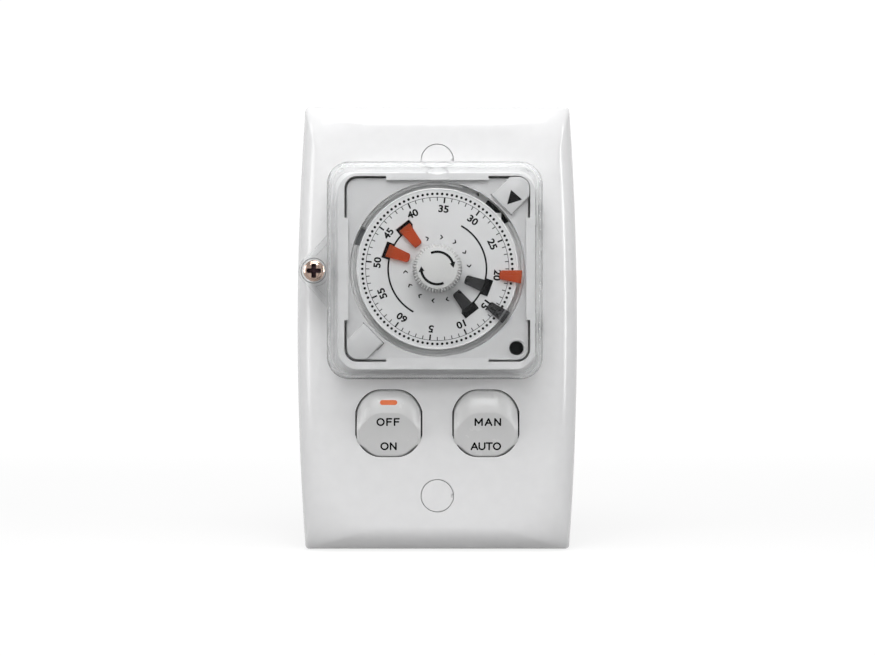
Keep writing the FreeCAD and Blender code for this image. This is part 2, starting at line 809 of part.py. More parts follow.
def timer_fascia():
    """The panel with the round well that the dial turns in."""
    fascia = Piece("timer_fascia", z=timer_z)
    fascia.pad("Block", fascia_back, panel_back + size("root_depth"), square(case_half, size("case_round")))
    fascia.pad("Panel", panel_back, panel_front, square(panel_half, size("panel_round")))
    fascia.pocket("Well", well_level, panel_front, circle(0, 0, well_radius))
    fascia.pocket("HubHole", fascia_back, well_level,
                  circle(0, 0, size("hub_radius") + size("hub_clearance")))
    fascia.pocket("Windows", fascia_back, well_level,
                  window(size("window_start"), size("window_end")),
                  window(size("patch_start"), size("patch_end")))
    pivot_x, pivot_z = lever_pivot
    finger_z = pivot_z + lever_reach
    room = size("finger_room")
    beside = size("finger_width") / 2 + room
    fascia.pocket("FingerSlot", fascia_back, well_level,
                  box(pivot_x - beside, pivot_x + beside + size("lever_travel"),
                      finger_z - size("finger_depth") - room, finger_z + room))
    fascia.pad("LeverPin", well_level - size("root_depth"),
               well_level + size("lever_lift") + size("lever_thickness") + size("running_clearance"),
               circle(pivot_x, pivot_z, size("lever_pin")))
    offset = case_half - size("override_inset")
    clearance = size("running_clearance")
    fascia.pocket("OverrideHole", panel_front - size("override_length") - clearance, panel_front,
                  circle(offset, -offset, size("override_radius") + clearance))


def fascia_fittings():
    """Two raised corner tabs and the slotted override spindle."""
    edge = panel_half - size("running_clearance")
    corner = size("panel_round")
    for name, angle in (("pointer_tab", 0), ("corner_tab", 180)):
        tab = Piece(name, z=timer_z, axis=FRONTWARD, angle=angle)
        slope = edge - size("corner_tab_side")
        near = slope - size("corner_tab_depth")
        tab.pad("Tab", panel_front, panel_front + size("corner_tab_height"),
                outline((edge - (slope - near), near), (edge, slope), (edge, edge - corner, corner),
                        (edge - corner, edge), (slope, edge), (near, edge - (slope - near))))
    offset = case_half - size("override_inset")
    front = panel_front - size("running_clearance")
    spindle = Piece("override_spindle", x=offset, z=timer_z - offset)
    spindle.pad("Barrel", panel_front - size("override_length"), front,
                circle(0, 0, size("override_radius")))
    half_slot = size("override_slot") / 2
    reach = size("override_radius") + size("override_slot")
    spindle.pocket("Slot", front - size("override_slot"), front, box(-reach, reach, -half_slot, half_slot))


def timer_case():
    """The deep box behind the fascia, with four ears, a ledge and slots for its terminals."""
    case = Piece("timer_case", z=timer_z)
    back = -size("case_back")
    wall = size("case_wall")
    case.pad("Box", back, fascia_back, square(case_half, size("case_round")))
    inner = case_half - wall
    case.pocket("GearRoom", gear_plate_back, fascia_back, square(inner, size("case_round") / 2))
    case.pocket("MotorRoom", back + wall, gear_plate_back,
                square(inner - size("case_ledge"), size("case_round") / 2))
    for name, sign in (("Left", -1), ("Right", 1)):
        loops, holes = [], []
        for z in (-ear_spread, ear_spread):
            near, far = (case_half - wall / 2) * sign, ear_x * sign
            left, right = (near, far) if sign > 0 else (far, near)
            loops.append((box(left, right, z - size("ear_radius"), z + size("ear_radius")),
                          circle(far, z, size("ear_radius"))))
            holes.append(circle(far, z, size("ear_screw_radius") + size("running_clearance")))
        case.pad("Arms" + name, ear_front - size("ear_thickness"), ear_front, *[arm for arm, _ in loops])
        case.pad("Ears" + name, ear_front - size("ear_thickness"), ear_front, *[ear for _, ear in loops])
        case.pocket("EarHoles" + name, ear_front - size("ear_thickness"), ear_front, *holes)
    case.pocket("TagSlots", back, back + wall,
                *[tag_loop(x, z, size("tag_clearance")) for x, z in timer_tags])


def case_screws():
    """The four screws that clamp the case's ears to the plate."""
    head_front = ear_front - size("ear_thickness")
    number = 0
    for x in (-ear_x, ear_x):
        for z in (-ear_spread, ear_spread):
            number += 1
            screw = Piece(f"case_screw_{number}", x=x, z=timer_z + z)
            screw.pad("Head", head_front - size("ear_screw_head_height"), head_front,
                      circle(0, 0, size("ear_screw_head")))
            screw.pad("Shank", head_front, ear_front + size("ear_screw_grip"),
                      circle(0, 0, size("ear_screw_radius")))


def dial():
    """The dial disc, its knob, spindle and gear, which turn as one."""
    disc = Piece("dial_disc", z=timer_z)
    disc.pad("Disc", dial_back, dial_front, circle(0, 0, size("dial_radius")))
    hub_back = gear_front + size("running_clearance") * 2
    disc.pad("Hub", hub_back, dial_back, circle(0, 0, size("hub_radius")))
    disc.pocket("Bore", hub_back, dial_front, circle(0, 0, size("spindle_radius")))
    outer = size("spare_tip") + size("spare_length") + size("slot_width") / 2
    inner = outer - size("slot_width")
    half = size("slot_length") / 2
    slots = []
    for angle in spare_angles:
        corners = ((inner, -half), (outer, -half), (outer, half), (inner, half))
        slots.append(outline(*[turned(x, z, angle) for x, z in corners]))
    disc.pocket("TappetSlots", dial_back, dial_front, *slots)

    knob = Piece("setting_knob", z=timer_z)
    core = size("knob_radius") - size("knob_tooth_depth")
    top = dial_front + size("knob_height")
    shoulder = top - size("knob_face_step")
    half_pitch = size("knob_radius") * math.pi / size("knob_teeth")
    knob.pad("Core", dial_front, shoulder, circle(0, 0, core))
    knob.teeth("Grip", dial_front, shoulder, size("knob_teeth"), core - size("knob_tooth_depth"),
               size("knob_radius"), half_pitch, size("knob_tooth_tip"))
    knob.pad("Face", dial_front, top, circle(0, 0, size("knob_face_radius")))
    spindle_front = top - size("knob_crown")
    knob.pocket("Bore", dial_front, spindle_front, circle(0, 0, size("spindle_radius")))

    spindle = Piece("dial_spindle", z=timer_z)
    spindle.pad("Shaft", gear_plate_back + size("gear_shake"), spindle_front,
                circle(0, 0, size("spindle_radius")))
    spindle.pad("Collar", gear_plate_front + size("gear_shake"), gear_back,
                circle(0, 0, size("spindle_collar")))

    wheel = Piece("dial_gear", z=timer_z)
    gear_ring(wheel, "Wheel", gear_back, gear_front, size("dial_teeth"))
    wheel.pocket("Bore", gear_back, gear_front, circle(0, 0, size("spindle_radius")))


def gear_ring(piece, name, low, high, count):
    """A toothed wheel of the train's module, its teeth thinned for running clearance."""
    pitch_radius = half_module * count
    core = pitch_radius - gear_module * TOOTH_ROOT
    piece.pad(name, low, high, circle(0, 0, core))
    piece.teeth(name + "Teeth", low, high, count,
                core - gear_module * TOOTH_SUNK, pitch_radius + gear_module * TOOTH_TIP,
                gear_module * TOOTH_ROOT_HALF, gear_module * TOOTH_TIP_HALF)


def gear_train():
    """The idler on its axle and the motor's pinion, on the gear plate."""
    direction = size("idler_direction")
    idler_x, idler_z = turned(idler_distance, 0, direction)
    idler = Piece("idler_gear", x=idler_x, z=timer_z + idler_z, axis=FRONTWARD, angle=size("idler_phase"))
    idler.pad("Hub", gear_plate_front + size("gear_shake"), gear_front,
              circle(0, 0, size("axle_radius") * 2))
    gear_ring(idler, "Small", idler_front, gear_front, size("idler_small_teeth"))
    gear_ring(idler, "Large", idler_back, idler_front, size("idler_large_teeth"))
    idler.pocket("Bore", gear_plate_front, gear_front + size("gear_gap"),
                 circle(0, 0, size("axle_radius") + size("peg_clearance")))

    axle = Piece("idler_axle", x=idler_x, z=timer_z + idler_z)
    axle.pad("Pin", gear_plate_back, fascia_back - size("running_clearance"),
             circle(0, 0, size("axle_radius")))

    pinion_x, pinion_z = turned(idler_distance - pinion_distance, 0, direction)
    pinion = Piece("motor_pinion", x=pinion_x, z=timer_z + pinion_z, axis=FRONTWARD,
                   angle=size("pinion_phase"))
    gear_ring(pinion, "Pinion", idler_back, idler_front, size("pinion_teeth"))
    pinion.pad("Shaft", gear_plate_back - size("motor_shaft_grip"), idler_front,
               circle(0, 0, size("motor_shaft")))

    room = case_half - size("case_wall") - size("case_ledge")
    can = Piece("motor_can", x=pinion_x, z=timer_z + pinion_z)
    can.pad("Can", gear_plate_back - size("motor_length"), gear_plate_back,
            circle(0, 0, room - pinion_x - size("motor_clearance")))
    bore_back = gear_plate_back - size("motor_shaft_grip") - size("running_clearance")
    can.pocket("ShaftBore", bore_back, gear_plate_back,
               circle(0, 0, size("motor_shaft") + size("peg_clearance")))

    plate = Piece("gear_plate", z=timer_z)
    half = case_half - size("case_wall") - size("gear_plate_clearance")
    plate.pad("Sheet", gear_plate_back, gear_plate_front, square(half, size("case_round") / 2))
    plate.pocket("Holes", gear_plate_back, gear_plate_front,
                 circle(0, 0, size("spindle_radius") + size("peg_clearance")),
                 circle(idler_x, idler_z, size("axle_radius")),
                 circle(pinion_x, pinion_z, size("motor_shaft_hole")))


def trip_lever():
    """The lever that the set tappets push, and the microswitch that it works."""
    pivot_x, pivot_z = lever_pivot
    back = well_level + size("lever_lift")
    half = size("lever_arm") / 2
    reach, nose = lever_reach, size("lever_nose")
    lever = Piece("trip_lever", x=pivot_x, z=timer_z + pivot_z)
    lever.pad("Arms", back, back + size("lever_thickness"),
              outline((-half, -half), (nose, -size("lever_nose_low")), (nose, size("lever_nose_high")),
                      (half, half), (half, reach), (-half, reach)))
    lever.pad("Boss", back, back + size("lever_thickness"), circle(0, 0, size("lever_boss")))
    finger_half = size("finger_width") / 2
    lever.pad("Finger", back - size("finger_length"), back + size("lever_thickness"),
              box(-finger_half, finger_half, reach - size("finger_depth"), reach))
    lever.pocket("PivotHole", back, back + size("lever_thickness"),
                 circle(0, 0, size("lever_pin") + size("peg_clearance")))

    button_z = pivot_z + reach - size("finger_width")
    button_level = back - size("button_drop")
    start = pivot_x + finger_half + size("running_clearance")
    front_x = start + size("lever_travel")
    switch = Piece("microswitch_body", z=timer_z)
    half_height = size("microswitch_height") / 2
    switch.pad("Body", gear_plate_front, fascia_back - size("running_clearance") * 2,
               box(front_x, case_half - size("case_wall") - size("microswitch_gap"),
                   button_z - half_height, button_z + half_height))
    depth = size("button_depth")
    radius = size("microswitch_button")
    switch.pocket("ButtonHole", front_x, front_x + depth,
                  circle(-button_level, button_z, radius + size("peg_clearance")), plane="YZ_Plane")
    button = Piece("microswitch_plunger", z=timer_z)
    button.pad("Button", start, front_x + depth - size("lever_travel"),
               circle(-button_level, button_z, radius), plane="YZ_Plane")


def tappet(name, angle, tip, end, leg_depth):
    """A flat tapered blade lying on the dial, with a leg at its outer end."""
    piece = Piece(name, z=timer_z, axis=FRONTWARD, angle=angle)
    tip_half, root_half = size("tappet_tip_width") / 2, size("tappet_root_width") / 2
    piece.pad("Blade", dial_front, dial_front + size("tappet_thickness"),
              outline((tip + tip_half, -tip_half), (end, -root_half), (end, root_half),
                      (tip + tip_half, tip_half, tip_half * FLATTER)))
    piece.pad("Leg", dial_front - leg_depth, dial_front,
              box(end - size("tappet_foot"), end, -root_half, root_half))


def tappets():
    """Four spare tappets stored in the dial's slots and two set at its rim."""
    stored = size("spare_tip") + size("spare_length")
    for name, angle in zip(("on_1", "on_2", "off_1", "off_2"), spare_angles):
        tappet("tappet_spare_" + name, angle, size("spare_tip"), stored, size("tappet_foot_depth"))
    rim = size("dial_radius") + size("tappet_clearance") + size("tappet_foot")
    for name, angle in (("on", size("set_on_angle")), ("off", size("set_off_angle"))):
        tip = size("dial_radius") - size("set_reach")
        tappet("tappet_set_" + name, angle, tip, rim, size("tappet_leg_depth"))


def rocker(side, x):
    """A rocker: a barrel about its pivot with a flat face, hollow behind, on two trunnions."""
    tilt = size("rocker_tilt")
    piece = Piece("rocker_" + side, x=x, level=rocker_level, z=rocker_z, axis=SIDEWAYS, angle=tilt)
    barrel(piece, "Revolution", "Barrel", dim(0), dim(0), 0, 0)
    half, sweep = rocker_half, size("rocker_sweep")
    wall = size("rocker_wall")
    over = sweep + wall
    whole = box(-half - wall, half + wall, -over, over)
    piece.pocket("FaceCut", size("rocker_face"), over, whole)
    piece.pocket("BackCut", -over, size("rocker_back"), whole)
    ceiling = size("rocker_face") - wall
    hollow_x, hollow_z = half - size("rocker_side"), size("rocker_hollow_height") / 2
    piece.pocket("Hollow", size("rocker_back"), ceiling, box(-hollow_x, hollow_x, -hollow_z, hollow_z))
    cheek_half = size("cheek_half")
    outer = half - size("cheek_inset")
    inner = outer - size("cheek_thickness")
    piece.pad("Cheeks", -cheek_half, size("rocker_back") + wall,
              box(inner, outer, -cheek_half, cheek_half), box(-outer, -inner, -cheek_half, cheek_half))
    for name, start in (("Left", -outer - size("trunnion_length")), ("Right", outer)):
        piece.pad("Trunnion" + name, start, start + size("trunnion_length"),
                  circle(0, 0, size("trunnion_radius")), plane="YZ_Plane")
    leg = size("leg_half")
    piece.pad("Leg", size("leg_back"), ceiling + size("root_depth"), box(-leg, leg, -leg, leg))
    bore_end = ceiling - size("running_clearance")
    piece.pocket("LegBore", size("leg_back"), bore_end, circle(0, 0, size("leg_bore")))

    spring = Piece("plunger_spring_" + side, x=x, level=rocker_level, z=rocker_z, axis=SIDEWAYS, angle=tilt)
    outside = size("plunger_radius")
    spring_back = bore_end - size("spring_length")
    spring.pad("Coil", spring_back, bore_end,
               circle(0, 0, outside), circle(0, 0, outside - size("spring_wire")))
    plunger = Piece("plunger_" + side, x=x, level=rocker_level, z=rocker_z, axis=SIDEWAYS, angle=tilt)
    plunger.pad("Rod", -size("plunger_reach"), spring_back, circle(0, 0, size("plunger_radius")))
    plunger.fillet("Tip", size("plunger_tip"), at_level(-size("plunger_reach")))
    return piece


def indicator_bar(holder):
    """The coloured bar, let into the upper end of the left rocker's barrel."""
    lean = size("indicator_angle")
    half = size("indicator_length") / 2
    end = size("indicator_width") / 2
    sweep = size("rocker_sweep")
    low, high = sweep - size("indicator_depth"), sweep + size("indicator_proud")
    loop = rounded(-half, half, -end, end, end * SHARPER)

    seat = holder.sketch("IndicatorSeat", "XZ_Plane", high * cosine(lean), [loop])
    seat.AttachmentOffset = FreeCAD.Placement(Vector(), FreeCAD.Rotation(-SIDEWAYS, lean.value))
    seat.setExpression("AttachmentOffset.Base.y", (high * sine(lean)).text)
    seat.setExpression("AttachmentOffset.Rotation.Angle", lean.text)
    holder.feature("Pocket", "IndicatorSeat", seat, high - low)

    bar = Piece("indicator_bar", x=rocker_places["left"], level=rocker_level, z=rocker_z,
                axis=SIDEWAYS, angle=size("rocker_tilt") - lean)
    bar.pad("Bar", low, high, loop)


def switch_mechanism(side, x):
    """The box behind a rocker, the see-saw contact in it and its two terminals."""
    half_width, half_height = size("switch_width") / 2, size("switch_height") / 2
    wall = size("switch_wall")
    back = -size("switch_back")
    body = Piece("switch_body_" + side, x=x, z=rocker_z)
    body.pad("Box", back, size("switch_rim"), box(-half_width, half_width, -half_height, half_height))
    cheek = size("switch_cheek") / 2
    body.pad("Cheeks", size("switch_rim"), plate_inside,
             box(half_width - wall, half_width, -cheek, cheek),
             box(-half_width, wall - half_width, -cheek, cheek))
    body.pocket("Inside", back + wall, size("switch_rim"),
                box(wall - half_width, half_width - wall, wall - half_height, half_height - wall))
    body.pocket("TrunnionBore", -half_width, half_width,
                circle(-rocker_level, 0, size("trunnion_radius") + size("peg_clearance")), plane="YZ_Plane")
    neck = size("stake_ear_radius")
    for number, (ear, z) in enumerate(stake_places(side), start=1):
        near = (half_width - wall / 2) * math.copysign(1, ear.value)
        low, high = sorted((near, ear), key=lambda place: place.value)
        body.pad(f"EarArm{number}", stake_level, plate_inside, box(low, high, z - neck, z + neck))
        body.pad(f"Ear{number}", stake_level, plate_inside, circle(ear, z, neck))
        body.pocket(f"EarHole{number}", stake_level, plate_inside,
                    circle(ear, z, size("stake_radius") + size("stake_clearance")))
    body.pocket("TagSlots", back, back + wall, *[tag_loop(0, z, size("tag_clearance")) for z in switch_tags])

    tilt = size("contact_tilt")
    pivot = rocker_level - size("contact_level")
    contact = Piece("moving_contact_" + side, x=x, level=pivot, z=rocker_z, axis=SIDEWAYS, angle=-tilt)
    half_bar = size("contact_thickness") / 2
    long_half, wide_half = size("contact_half_length"), size("contact_half_width")
    stud = size("contact_stud_offset")
    contact.pad("Bar", -half_bar, half_bar, box(-wide_half, wide_half, -long_half, long_half))
    bead = size("contact_bead")
    contact.pad("Bead", -wide_half, wide_half, circle(0, 0, bead), plane="YZ_Plane")
    contact.pocket("BeadTop", half_bar, bead, box(-wide_half, wide_half, -bead, bead))
    contact.pad("Studs", -half_bar - size("contact_stud_height"), -half_bar,
                circle(0, stud, size("contact_stud")), circle(0, -stud, size("contact_stud")))

    rest = size("contact_rest_gap")
    stud_drop = half_bar + size("contact_stud_height") + (stud + size("contact_stud")) * sine(tilt)
    for name, z, drop in (("line", switch_tags[0], stud_drop), ("load", switch_tags[1], bead)):
        terminal(f"switch_{name}_{side}", x, rocker_z + z, pivot - drop - rest, back)


def tag_loop(x, z, margin):
    """A loop: the section of a terminal's tag, grown by a margin."""
    half_width, half_depth = size("tag_width") / 2 + margin, size("tag_thickness") / 2 + margin
    return box(x - half_width, x + half_width, z - half_depth, z + half_depth)


def terminal(name, x, z, tag_front, block_front):
    """A brass tag that ends in a block outside its box, with a wire hole and a clamp screw."""
    half = size("block_width") / 2
    back = block_front - size("block_length")
    block = Piece(name + "_terminal", x=x, z=z)
    block.pad("Tag", block_front, tag_front, tag_loop(dim(0), dim(0), 0))
    block.pad("Block", back, block_front, box(-half, half, -half, half))
    block.pocket("WireHole", back, block_front - size("switch_wall"), circle(0, 0, size("wire_hole")))
    middle = -(back + block_front) / 2
    block.pocket("ScrewHole", 0, half,
                 circle(middle, 0, size("terminal_screw") + size("peg_clearance")), plane="YZ_Plane")
    screw = Piece(name + "_screw", x=x, z=z)
    screw.pad("Shank", size("wire_hole"), half, circle(middle, 0, size("terminal_screw")), plane="YZ_Plane")
    screw.pad("Head", half, half + size("terminal_screw_head_height"),
              circle(middle, 0, size("terminal_screw_head")), plane="YZ_Plane")


def check_and_write():
    """Stop at any failed feature or bad shape, then write one file for each piece."""
    doc.recompute()
    failed = [feature.Label for feature in doc.Objects if {"Invalid", "Error"} & set(feature.State)]
    if failed:
        raise RuntimeError("failed: " + ", ".join(failed))
    for piece in pieces:
        if piece.Shape.isNull() or not piece.Shape.isValid() or len(piece.Shape.Solids) != 1:
            raise RuntimeError(f"{piece.Label} has {len(piece.Shape.Solids)} solids or a bad shape")
    os.makedirs("parts", exist_ok=True)
    for piece in pieces:
        piece.Shape.exportStep(f"parts/{piece.Label}.step")
    print(len(pieces), "pieces written")


wall_plate()
screw_caps()
timer_surround()
hinge_pins()
clear_cover()
cover_screw()
timer_fascia()
fascia_fittings()
timer_case()
case_screws()
dial()
tappets()
gear_train()
trip_lever()
for tag, (tag_x, tag_z) in zip(("timer_line", "timer_load"), timer_tags):
    terminal(tag, tag_x, timer_z + tag_z, size("timer_tag_inside") - size("case_back"), -size("case_back"))
rockers = {side: rocker(side, place) for side, place in rocker_places.items()}
indicator_bar(rockers["left"])
for side, place in rocker_places.items():
    switch_mechanism(side, place)
check_and_write()
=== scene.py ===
import math

import bmesh
import bpy
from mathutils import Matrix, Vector


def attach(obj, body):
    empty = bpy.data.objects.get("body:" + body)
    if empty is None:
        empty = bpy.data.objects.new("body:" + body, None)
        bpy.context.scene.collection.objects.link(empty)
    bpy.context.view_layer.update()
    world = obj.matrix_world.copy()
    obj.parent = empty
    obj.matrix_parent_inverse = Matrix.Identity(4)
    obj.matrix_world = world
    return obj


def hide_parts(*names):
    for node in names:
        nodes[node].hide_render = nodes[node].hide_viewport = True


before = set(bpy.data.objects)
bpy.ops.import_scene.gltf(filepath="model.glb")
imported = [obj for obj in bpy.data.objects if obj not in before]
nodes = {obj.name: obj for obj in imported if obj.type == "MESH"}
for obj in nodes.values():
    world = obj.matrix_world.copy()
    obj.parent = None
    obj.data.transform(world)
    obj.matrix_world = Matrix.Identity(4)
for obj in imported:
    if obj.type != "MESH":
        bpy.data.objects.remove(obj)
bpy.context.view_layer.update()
MM = 0.001

# The view: straight on, from less than half a metre, so that the cover's four walls show.
# The lens gives the photograph's scale at the wall.
VIEW_PLACE = (0.00005, -0.42, 0.0)
LENS_MM = 67.44
SENSOR_MM = 36.0


def put_in_scene(name, data):
    """An object of that name for a mesh, a lamp, a camera or a curve."""
    thing = bpy.data.objects.new(name, data)
    bpy.context.scene.collection.objects.link(thing)
    return thing


camera = put_in_scene("view", bpy.data.cameras.new("view"))
camera.data.lens = LENS_MM
camera.data.sensor_width = SENSOR_MM
camera.data.sensor_fit = "HORIZONTAL"
camera.data.clip_start = 0.01
camera.data.clip_end = 20.0
camera.location = VIEW_PLACE
camera.rotation_euler = (math.pi / 2, 0, 0)
bpy.context.scene.camera = camera


def mend(mesh, merge=0.0, outward=True):
    """Merge the points of a mesh that lie within a distance, and turn its faces outward."""
    made = bmesh.new()
    made.from_mesh(mesh)
    if merge:
        bmesh.ops.remove_doubles(made, verts=made.verts, dist=merge)
    if outward:
        bmesh.ops.recalc_face_normals(made, faces=made.faces)
    made.to_mesh(mesh)
    made.free()


def mesh_object(name, points, faces, crease=35.0):
    """A piece from its points and faces, with its soft parts shaded smooth."""
    mesh = bpy.data.meshes.new(name)
    mesh.from_pydata([tuple(point) for point in points], [], faces)
    mend(mesh, 1e-7)
    thing = put_in_scene(name, mesh)
    shade(thing, crease)
    return thing


def shade(thing, crease=35.0):
    """Smooth shading, with edges sharper than the crease angle kept sharp."""
    thing.data.polygons.foreach_set("use_smooth", [True] * len(thing.data.polygons))
    thing.data.set_sharp_from_angle(angle=math.radians(crease))


# The studio: a pale floor that sweeps up into a backdrop. Both show as plain white to the view,
# and the floor keeps the object's shadow. Light comes from above, with a long box on each side.
FLOOR_Z = -0.0563
FLOOR_GREY = 0.42
BACKDROP_WHITE = 1.05
SHADOWED_WHITE = (0.95, 0.95, 0.95, 1)
SHADOW_SHARE = 0.22
SHADOW_ENDS = (0.05, 0.45)
SWEEP = [(-2.5, 0.0), (1.0, 0.0), (1.2, 0.02), (1.36, 0.09), (1.47, 0.2), (1.5, 0.4), (1.5, 2.6)]
HALF_WIDTH = 2.6
SKY_LEVEL = 0.37


def worked_out(tree, operation, *given):
    """What a math node makes of the sockets and numbers given to it."""
    node = tree.nodes.new("ShaderNodeMath")
    node.operation = operation
    for socket, value in zip(node.inputs, given):
        if isinstance(value, float):
            socket.default_value = value
        else:
            tree.links.new(value, socket)
    return node.outputs[0]


def graded(tree, value, ends, levels=(0.0, 1.0)):
    """A level that goes evenly from one to another as a value goes from end to end."""
    node = tree.nodes.new("ShaderNodeMapRange")
    for socket, number in zip(("From Min", "From Max", "To Min", "To Max"), (*ends, *levels)):
        node.inputs[socket].default_value = number
    tree.links.new(value, node.inputs["Value"])
    return node.outputs[0]


def seen_directly(tree):
    """The share, 0 or 1, of rays that come from the camera, a mirror or a clear thing, and haven't
    met a matt surface on their way."""
    path = tree.nodes.new("ShaderNodeLightPath")
    direct = path.outputs["Is Camera Ray"]
    for kind in ("Is Glossy Ray", "Is Transmission Ray"):
        direct = worked_out(tree, "MAXIMUM", direct, path.outputs[kind])
    unmet = worked_out(tree, "LESS_THAN", path.outputs["Diffuse Depth"], 0.5)
    return worked_out(tree, "MULTIPLY", direct, unmet)


def mixed(tree, share, first, second):
    """A shader that is the first where share is 0 and the second where it is 1."""
    mix = tree.nodes.new("ShaderNodeMixShader")
    for socket, given in zip(mix.inputs, (share, first, second)):
        tree.links.new(given, socket)
    return mix.outputs[0]


def pale_stage():
    """The floor and backdrop: grey to the lamps, and white to the view, with the shadow on it."""
    material = bpy.data.materials.new("pale_stage")
    material.use_nodes = True
    tree = material.node_tree
    tree.nodes.clear()
    output = tree.nodes.new("ShaderNodeOutputMaterial")
    matt = tree.nodes.new("ShaderNodeBsdfDiffuse")
    matt.inputs["Color"].default_value = (FLOOR_GREY, FLOOR_GREY, FLOOR_GREY, 1)
    shadowed = tree.nodes.new("ShaderNodeBsdfDiffuse")
    shadowed.inputs["Color"].default_value = SHADOWED_WHITE
    white = tree.nodes.new("ShaderNodeEmission")
    white.inputs["Strength"].default_value = BACKDROP_WHITE
    place = tree.nodes.new("ShaderNodeTexCoord")
    apart = tree.nodes.new("ShaderNodeSeparateXYZ")
    tree.links.new(place.outputs["Object"], apart.inputs[0])
    fade = graded(tree, apart.outputs["Y"], SHADOW_ENDS, (SHADOW_SHARE, 0.0))
    shown = mixed(tree, fade, white.outputs[0], shadowed.outputs[0])
    surface = mixed(tree, seen_directly(tree), matt.outputs[0], shown)
    tree.links.new(surface, output.inputs["Surface"])
    return material


points = [(side * HALF_WIDTH, y, FLOOR_Z + rise) for y, rise in SWEEP for side in (-1, 1)]
faces = [(2 * i, 2 * i + 1, 2 * i + 3, 2 * i + 2) for i in range(len(SWEEP) - 1)]
backdrop = mesh_object("studio_sweep", points, faces, 60.0)
backdrop.data.materials.append(pale_stage())

world = bpy.data.worlds.new("studio_air")
bpy.context.scene.world = world
world.use_nodes = True
sky = world.node_tree
sky.nodes.clear()
sky_output = sky.nodes.new("ShaderNodeOutputWorld")
lit, shown = sky.nodes.new("ShaderNodeBackground"), sky.nodes.new("ShaderNodeBackground")
lit.inputs["Strength"].default_value = SKY_LEVEL
shown.inputs["Strength"].default_value = 1.0
sky.links.new(mixed(sky, seen_directly(sky), lit.outputs[0], shown.outputs[0]),
              sky_output.inputs["Surface"])

LAMPS = (
    # name, place, width, height, watts
    ("top_box", (-0.02, -0.25, 0.33), 0.34, 0.22, 1.45),
    ("left_box", (-0.50, -0.22, 0.05), 0.16, 0.50, 0.95),
    ("right_box", (0.50, -0.26, 0.02), 0.07, 0.55, 1.02),
)
for name, place, width, height, watts in LAMPS:
    lamp = bpy.data.lights.new(name, "AREA")
    lamp.shape = "RECTANGLE"
    lamp.size, lamp.size_y = width, height
    lamp.energy = watts
    holder = put_in_scene(name, lamp)
    holder.location = place
    holder.rotation_euler = (-Vector(place)).to_track_quat("-Z", "Y").to_euler()

bpy.context.scene.view_settings.view_transform = "Standard"


# The wall plate: one moulding in glossy white thermoplastic, with bulged sides and a wide
# rounded bevel. It holds everything else and lies on the wall.
PLATE_WHITE = (0.80, 0.80, 0.805)
PATCH_ENDS = (0.3, 0.7)
WEAR = 0.15


def finish(name, colour, rough, mottle=0.015, patch=300.0, relief=0.0, relief_patch=900.0,
           **sockets):
    """A moulded or machined surface: its colour and roughness vary a little from place to place,
    and a fine relief breaks up what it mirrors."""
    material = bpy.data.materials.new(name)
    material.use_nodes = True
    tree = material.node_tree
    shader = tree.nodes["Principled BSDF"]
    place = tree.nodes.new("ShaderNodeTexCoord")
    noise = tree.nodes.new("ShaderNodeTexNoise")
    noise.inputs["Scale"].default_value = patch
    noise.inputs["Detail"].default_value = 3.0
    tree.links.new(place.outputs["Object"], noise.inputs["Vector"])
    tint = tree.nodes.new("ShaderNodeValToRGB")
    for stop, where, level in zip(tint.color_ramp.elements, PATCH_ENDS, (1 - mottle, 1 + mottle)):
        stop.position = where
        stop.color = (*[min(1.0, part * level) for part in colour], 1)
    tree.links.new(noise.outputs[0], tint.inputs[0])
    tree.links.new(tint.outputs[0], shader.inputs["Base Color"])
    wear = graded(tree, noise.outputs[0], PATCH_ENDS,
                  (rough * (1 - WEAR), min(1.0, rough * (1 + WEAR))))
    tree.links.new(wear, shader.inputs["Roughness"])
    if relief:
        grain = tree.nodes.new("ShaderNodeTexNoise")
        grain.inputs["Scale"].default_value = relief_patch
        grain.inputs["Detail"].default_value = 2.0
        tree.links.new(place.outputs["Object"], grain.inputs["Vector"])
        bump = tree.nodes.new("ShaderNodeBump")
        bump.inputs["Distance"].default_value = relief
        tree.links.new(grain.outputs[0], bump.inputs["Height"])
        tree.links.new(bump.outputs[0], shader.inputs["Normal"])
    for socket, value in sockets.items():
        shader.inputs[socket.replace("_", " ")].default_value = value
    return material


def dress(material, *names):
    """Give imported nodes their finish."""
    for name in names:
        mesh = nodes[name].data
        mesh.materials.clear()
        mesh.materials.append(material)


PLATE_HALF_WIDTH, PLATE_HALF_HEIGHT = 35.54, 56.09
PLATE_FRONT, PLATE_EDGE = 9.49, 3.0
SIDE_RADIUS = 768.6
PILLOW = 6.5
OUTER_CORNER, INNER_CORNER = 1.0, 15.0
BEHIND = -1.0
PILLOW_STEPS = 30
FLAT_MARGIN = 0.3
SIDE_STEPS, CORNER_STEPS, END_STEPS = 24, 24, 10


